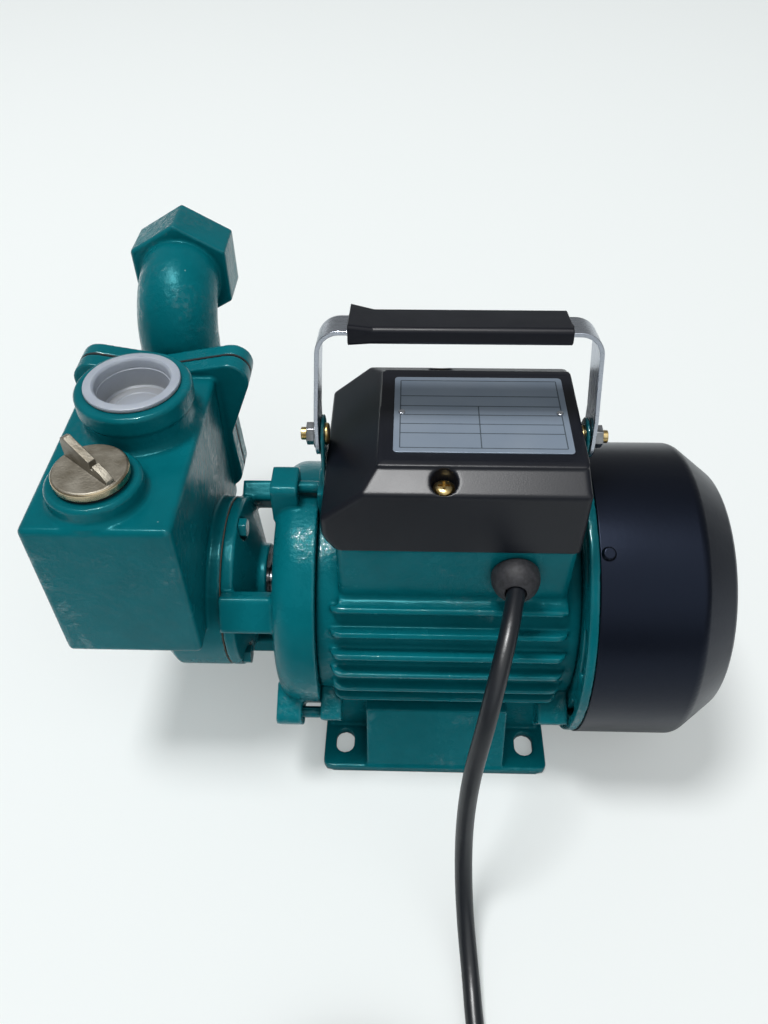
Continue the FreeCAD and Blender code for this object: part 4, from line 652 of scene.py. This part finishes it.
# Nameplate
# Satin aluminium sheet with round corners, held by two rivets. Its printed fields are ruled and
# left blank: a border, rows and one upright rule.
plate = merged_copy("nameplate", "rating_plate")
soften_edges(plate, 0.15)
satin_sheet, tree, shader = new_material("satin rolled aluminium", "8d9cae", 0.42, metallic=0.4)
place = add_node(tree, "ShaderNodeTexCoord").outputs["Object"]
along = add_node(tree, "ShaderNodeMapping", Vector=place, Scale=(40.0, 2600.0, 40.0))
brushing = add_node(tree, "ShaderNodeTexNoise", Vector=along.outputs["Vector"], Scale=1.0, Detail=3.0)
bump = add_node(tree, "ShaderNodeBump", Height=brushing.outputs["Fac"], Strength=0.3, Distance=0.00005)
tree.links.new(bump.outputs["Normal"], shader.inputs["Normal"])
cloud = add_node(tree, "ShaderNodeTexNoise", Vector=place, Scale=45.0, Detail=5.0)
tint = add_node(tree, "ShaderNodeValToRGB", Fac=cloud.outputs["Fac"])
tint.color_ramp.elements[0].color = linear("7f8fa2")
tint.color_ramp.elements[1].color = linear("98a3b1")
tree.links.new(tint.outputs["Color"], shader.inputs["Base Color"])
dress(plate, satin_sheet, "pump")
dress(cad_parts["nameplate_rivets"], bright_plate)

plate_low, plate_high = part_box("nameplate")
plate_top = plate_high.z / mm
plate_left = plate_low.x / mm
plate_right = plate_high.x / mm
plate_half = plate_high.y / mm
margin = 2.4
rule_width = 0.45
upright_rule_from_left = 32.0
ink_lift = 0.01
ink_thickness = 0.03
rows = [(-plate_half + margin, plate_left + margin, plate_right - margin)]
row_heights = (10.4, 4.2, -1.2, -6.6, -12.0)
for y in row_heights:
    rows.append((y, plate_left + margin, plate_right - margin))
rows.append((plate_half - margin, plate_left + margin, plate_right - margin))
rules = []
for y, left, right in rows:
    rules.append((left, right, y - rule_width / 2, y + rule_width / 2))
for x in (plate_left + margin, plate_right - margin):
    rules.append((x - rule_width / 2, x + rule_width / 2, -plate_half + margin, plate_half - margin))
middle_x = plate_left + upright_rule_from_left
rules.append((middle_x - rule_width / 2, middle_x + rule_width / 2, -plate_half + margin, row_heights[1]))
strips = []
for left, right, near_y, far_y in rules:
    bpy.ops.object.select_all(action="DESELECT")
    centre = ((left + right) / 2 * mm, (near_y + far_y) / 2 * mm, (plate_top + ink_lift) * mm)
    bpy.ops.mesh.primitive_plane_add(size=1.0, location=centre)
    strip = bpy.context.object
    strip.scale = ((right - left) * mm, (far_y - near_y) * mm, 1.0)
    bpy.ops.object.transform_apply(location=True, rotation=True, scale=True)
    strips.append(strip)
printed_rules = join_pieces(strips, "plate_rules")
apply_modifier(printed_rules, "SOLIDIFY", thickness=ink_thickness * mm, offset=1.0)
# Printed ink: matt blue-grey, thinner in spots where the sheet shows through
ink, tree, shader = new_material("screen-printed ink", "3b4a55", 0.55)
place = add_node(tree, "ShaderNodeTexCoord").outputs["Object"]
lightening_mask = add_node(tree, "ShaderNodeTexNoise", Vector=place, Scale=700.0, Detail=3.0)
tint = add_node(tree, "ShaderNodeValToRGB", Fac=lightening_mask.outputs["Fac"])
tint.color_ramp.elements[0].color = linear("2c3a44")
tint.color_ramp.elements[1].color = linear("56636e")
tree.links.new(tint.outputs["Color"], shader.inputs["Base Color"])
dress(printed_rules, ink, "pump")

# Carrying handle
# A bent strip of bright-plated steel, drawn along its length, with a smooth black moulded grip on
# it. It hangs from two ears of the housing on yellow bolts with zinc-plated nuts and washers.
strap = merged_copy("handle_strap", "bent_strap")
soften_edges(strap, 0.3)
strip_steel, tree, shader = new_material("bright-plated strip steel", "aeb3bd", 0.26, metallic=1.0)
place = add_node(tree, "ShaderNodeTexCoord").outputs["Object"]
along = add_node(tree, "ShaderNodeMapping", Vector=place, Scale=(60.0, 1500.0, 60.0))
rolled = add_node(tree, "ShaderNodeTexNoise", Vector=along.outputs["Vector"], Scale=1.0, Detail=4.0)
bump = add_node(tree, "ShaderNodeBump", Height=rolled.outputs["Fac"], Strength=0.35, Distance=0.00005)
tree.links.new(bump.outputs["Normal"], shader.inputs["Normal"])
spread = add_node(tree, "ShaderNodeMapRange", Value=rolled.outputs["Fac"], To_Min=0.16, To_Max=0.4)
tree.links.new(spread.outputs["Result"], shader.inputs["Roughness"])
dress(strap, strip_steel, "handle")

grip = merged_copy("handle_grip", "moulded_grip")
soften_edges(grip, 0.5)
grip_plastic, tree, shader = new_material("smooth black polypropylene", "0e1019", 0.4, specular=0.2)
place = add_node(tree, "ShaderNodeTexCoord").outputs["Object"]
rub = add_node(tree, "ShaderNodeTexNoise", Vector=place, Scale=60.0, Detail=6.0)
spread = add_node(tree, "ShaderNodeMapRange", Value=rub.outputs["Fac"], To_Min=0.28, To_Max=0.5)
tree.links.new(spread.outputs["Result"], shader.inputs["Roughness"])
bump = add_node(tree, "ShaderNodeBump", Height=rub.outputs["Fac"], Strength=0.2, Distance=0.0002)
tree.links.new(bump.outputs["Normal"], shader.inputs["Normal"])
dress(grip, grip_plastic, "handle")

for node, name, material, slot in (
    ("handle_bolts", "pivot_bolts", brassy, "yellow_zinc"),
    ("handle_nuts", "pivot_nuts", zinc, "bright_steel"),
    ("handle_washers", "pivot_washers", zinc, "bright_steel"),
):
    fixing = merged_copy(node, name)
    soften_edges(fixing, 0.25)
    dress(fixing, material, "pump")

# Cable grommet
# A domed rubber grommet pressed into the housing's wall; the lead comes out of its mouth. The
# rubber is matt and holds a grey dust.
grommet = merged_copy("cable_grommet", "domed_grommet")
soften_edges(grommet, 0.4)
grommet_rubber, tree, shader = new_material("dusty black rubber", "232328", 0.62, specular=0.35)
place = add_node(tree, "ShaderNodeTexCoord").outputs["Object"]
dust = add_node(tree, "ShaderNodeTexNoise", Vector=place, Scale=500.0, Detail=6.0)
tint = add_node(tree, "ShaderNodeValToRGB", Fac=dust.outputs["Fac"])
tint.color_ramp.elements[0].position = 0.35
tint.color_ramp.elements[0].color = linear("1e1e22")
tint.color_ramp.elements[1].position = 0.8
tint.color_ramp.elements[1].color = linear("37373c")
tree.links.new(tint.outputs["Color"], shader.inputs["Base Color"])
bump = add_node(tree, "ShaderNodeBump", Height=dust.outputs["Fac"], Strength=0.3, Distance=0.00008)
tree.links.new(bump.outputs["Normal"], shader.inputs["Normal"])
dress(grommet, grommet_rubber, "pump")

# Inside the casings
# Ground shaft and bearings with the wheel's fine rings on them, stacked steel cores that show their
# sheets, cast aluminium rings, varnished copper, and the moulded electrical parts.
ground_steel, tree, shader = new_material("ground bearing steel", "9a9ca0", 0.22, metallic=1.0)
place = add_node(tree, "ShaderNodeTexCoord").outputs["Object"]
rings = add_node(
    tree, "ShaderNodeTexWave", {"wave_type": "BANDS", "bands_direction": "X"}, Vector=place, Scale=700.0,
    Distortion=2.0,
)
bump = add_node(tree, "ShaderNodeBump", Height=rings.outputs["Fac"], Strength=0.3, Distance=0.00003)
tree.links.new(bump.outputs["Normal"], shader.inputs["Normal"])
for node in (
    "shaft", "impeller_key", "valve_weight", "flap_pin", "wave_spring", "fan_clip",
    "front_bearing_outer", "front_bearing_inner", "front_bearing_balls",
    "rear_bearing_outer", "rear_bearing_inner", "rear_bearing_balls",
):
    dress(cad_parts[node], ground_steel)

stacked, tree, shader = new_material("stacked steel sheet", "55585d", 0.5, metallic=0.9)
place = add_node(tree, "ShaderNodeTexCoord").outputs["Object"]
sheets = add_node(
    tree, "ShaderNodeTexWave", {"wave_type": "BANDS", "bands_direction": "X"}, Vector=place, Scale=160.0,
)
bump = add_node(tree, "ShaderNodeBump", Height=sheets.outputs["Fac"], Strength=0.6, Distance=0.0002)
tree.links.new(bump.outputs["Normal"], shader.inputs["Normal"])
for node in ("rotor_core", "stator_core"):
    dress(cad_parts[node], stacked)

# Finish, colour, roughness, metallic, pattern to the metre, its height in metres, nodes
inner_finishes = [
    ("die-cast aluminium", "9fa2a6", 0.45, 0.9, 300.0, 0.0003, ("rotor_end_rings",)),
    ("varnished copper winding", "8c4a26", 0.3, 0.8, 420.0, 0.0006, ("stator_windings",)),
    ("machined brass", "b8924e", 0.3, 1.0, 500.0, 0.0001, ("impeller",)),
    ("pressed fibre sheet", "4a3d30", 0.8, 0.0, 600.0, 0.0002, ("casing_gasket",)),
    ("lapped ceramic", "ded9cc", 0.15, 0.0, 900.0, 0.00002, ("seal_seat",)),
    ("glossy phenolic", "cfcabb", 0.3, 0.0, 700.0, 0.00005, ("capacitor", "terminal_block")),
    ("black nylon", "141416", 0.45, 0.0, 600.0, 0.0001, ("fan",)),
]
for name, colour, roughness, metallic, scale, height, nodes in inner_finishes:
    finish, tree, shader = new_material(name, colour, roughness, metallic)
    place = add_node(tree, "ShaderNodeTexCoord").outputs["Object"]
    uneven = add_node(tree, "ShaderNodeTexNoise", Vector=place, Scale=scale, Detail=4.0)
    bump = add_node(tree, "ShaderNodeBump", Height=uneven.outputs["Fac"], Strength=0.6, Distance=height)
    tree.links.new(bump.outputs["Normal"], shader.inputs["Normal"])
    for node in nodes:
        dress(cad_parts[node], finish)

# Floor and light
# A pale sweep under the pump, one soft lamp high overhead, a small one beside it for the glints on
# the enamel, and a dim surround with one bright patch above the camera. Part of the floor's white
# is its own, for the camera only, so that the shadows stay.
bpy.ops.object.select_all(action="DESELECT")
bpy.ops.mesh.primitive_plane_add(size=8.0, location=(0, 0, 0))
floor = bpy.context.object
floor.name = "floor"
paper, tree, shader = new_material("pale paper", "f1f5f5", 0.9, specular=0.1)
rays = add_node(tree, "ShaderNodeLightPath")
glow = add_node(tree, "ShaderNodeEmission", Color=linear("f3f7f6"), Strength=1.0)
seen = add_node(
    tree, "ShaderNodeMath", {"operation": "MULTIPLY"}, i0=rays.outputs["Is Camera Ray"], i1=0.3,
)
blend = add_node(tree, "ShaderNodeMixShader", i0=seen.outputs["Value"])
tree.links.new(shader.outputs["BSDF"], blend.inputs[1])
tree.links.new(glow.outputs["Emission"], blend.inputs[2])
tree.links.new(blend.outputs["Shader"], tree.nodes["Material Output"].inputs["Surface"])
floor.data.materials.append(paper)
floor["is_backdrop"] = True

world = bpy.data.worlds.new("surround")
bpy.context.scene.world = world
world.use_nodes = True
tree = world.node_tree
background = tree.nodes["Background"]
rays = add_node(tree, "ShaderNodeLightPath")
direction = add_node(tree, "ShaderNodeTexCoord")
towards = add_node(
    tree, "ShaderNodeVectorMath", {"operation": "DOT_PRODUCT"}, i0=direction.outputs["Generated"],
    i1=(0.3, -0.58, 0.76),
)
bright_patch = add_node(
    tree, "ShaderNodeMapRange", {"interpolation_type": "SMOOTHSTEP"}, Value=towards.outputs["Value"],
    From_Min=0.72, From_Max=0.98, To_Min=0.26, To_Max=1.3,
)
seen = add_node(
    tree, "ShaderNodeMix", {"data_type": "FLOAT"}, i0=rays.outputs["Is Camera Ray"],
    i2=bright_patch.outputs["Result"], i3=0.93,
)
tree.links.new(seen.outputs[0], background.inputs["Strength"])
background.inputs["Color"].default_value = linear("f5f9f9")

# Lamp, place in metres, width, watts, and whether it lights matt surfaces as well as glossy ones
lamps = [
    ("overhead_lamp", (-0.7, 0.0, 3.0), 0.85, 58.0, True),
    ("glint_lamp", (-0.12, -0.2, 2.2), 0.08, 36.0, False),
]
for name, place, size, power, lights_surfaces in lamps:
    bpy.ops.object.select_all(action="DESELECT")
    aim = (Vector((0, 0, 0.08)) - Vector(place)).to_track_quat("-Z", "Y")
    bpy.ops.object.light_add(type="AREA", location=place, rotation=aim.to_euler())
    lamp = bpy.context.object
    lamp.name = name
    lamp.data.shape = "DISK"
    lamp.data.size = size
    lamp.data.energy = power
    lamp.visible_diffuse = lights_surfaces

bpy.context.scene.view_settings.view_transform = "Standard"

low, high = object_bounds()
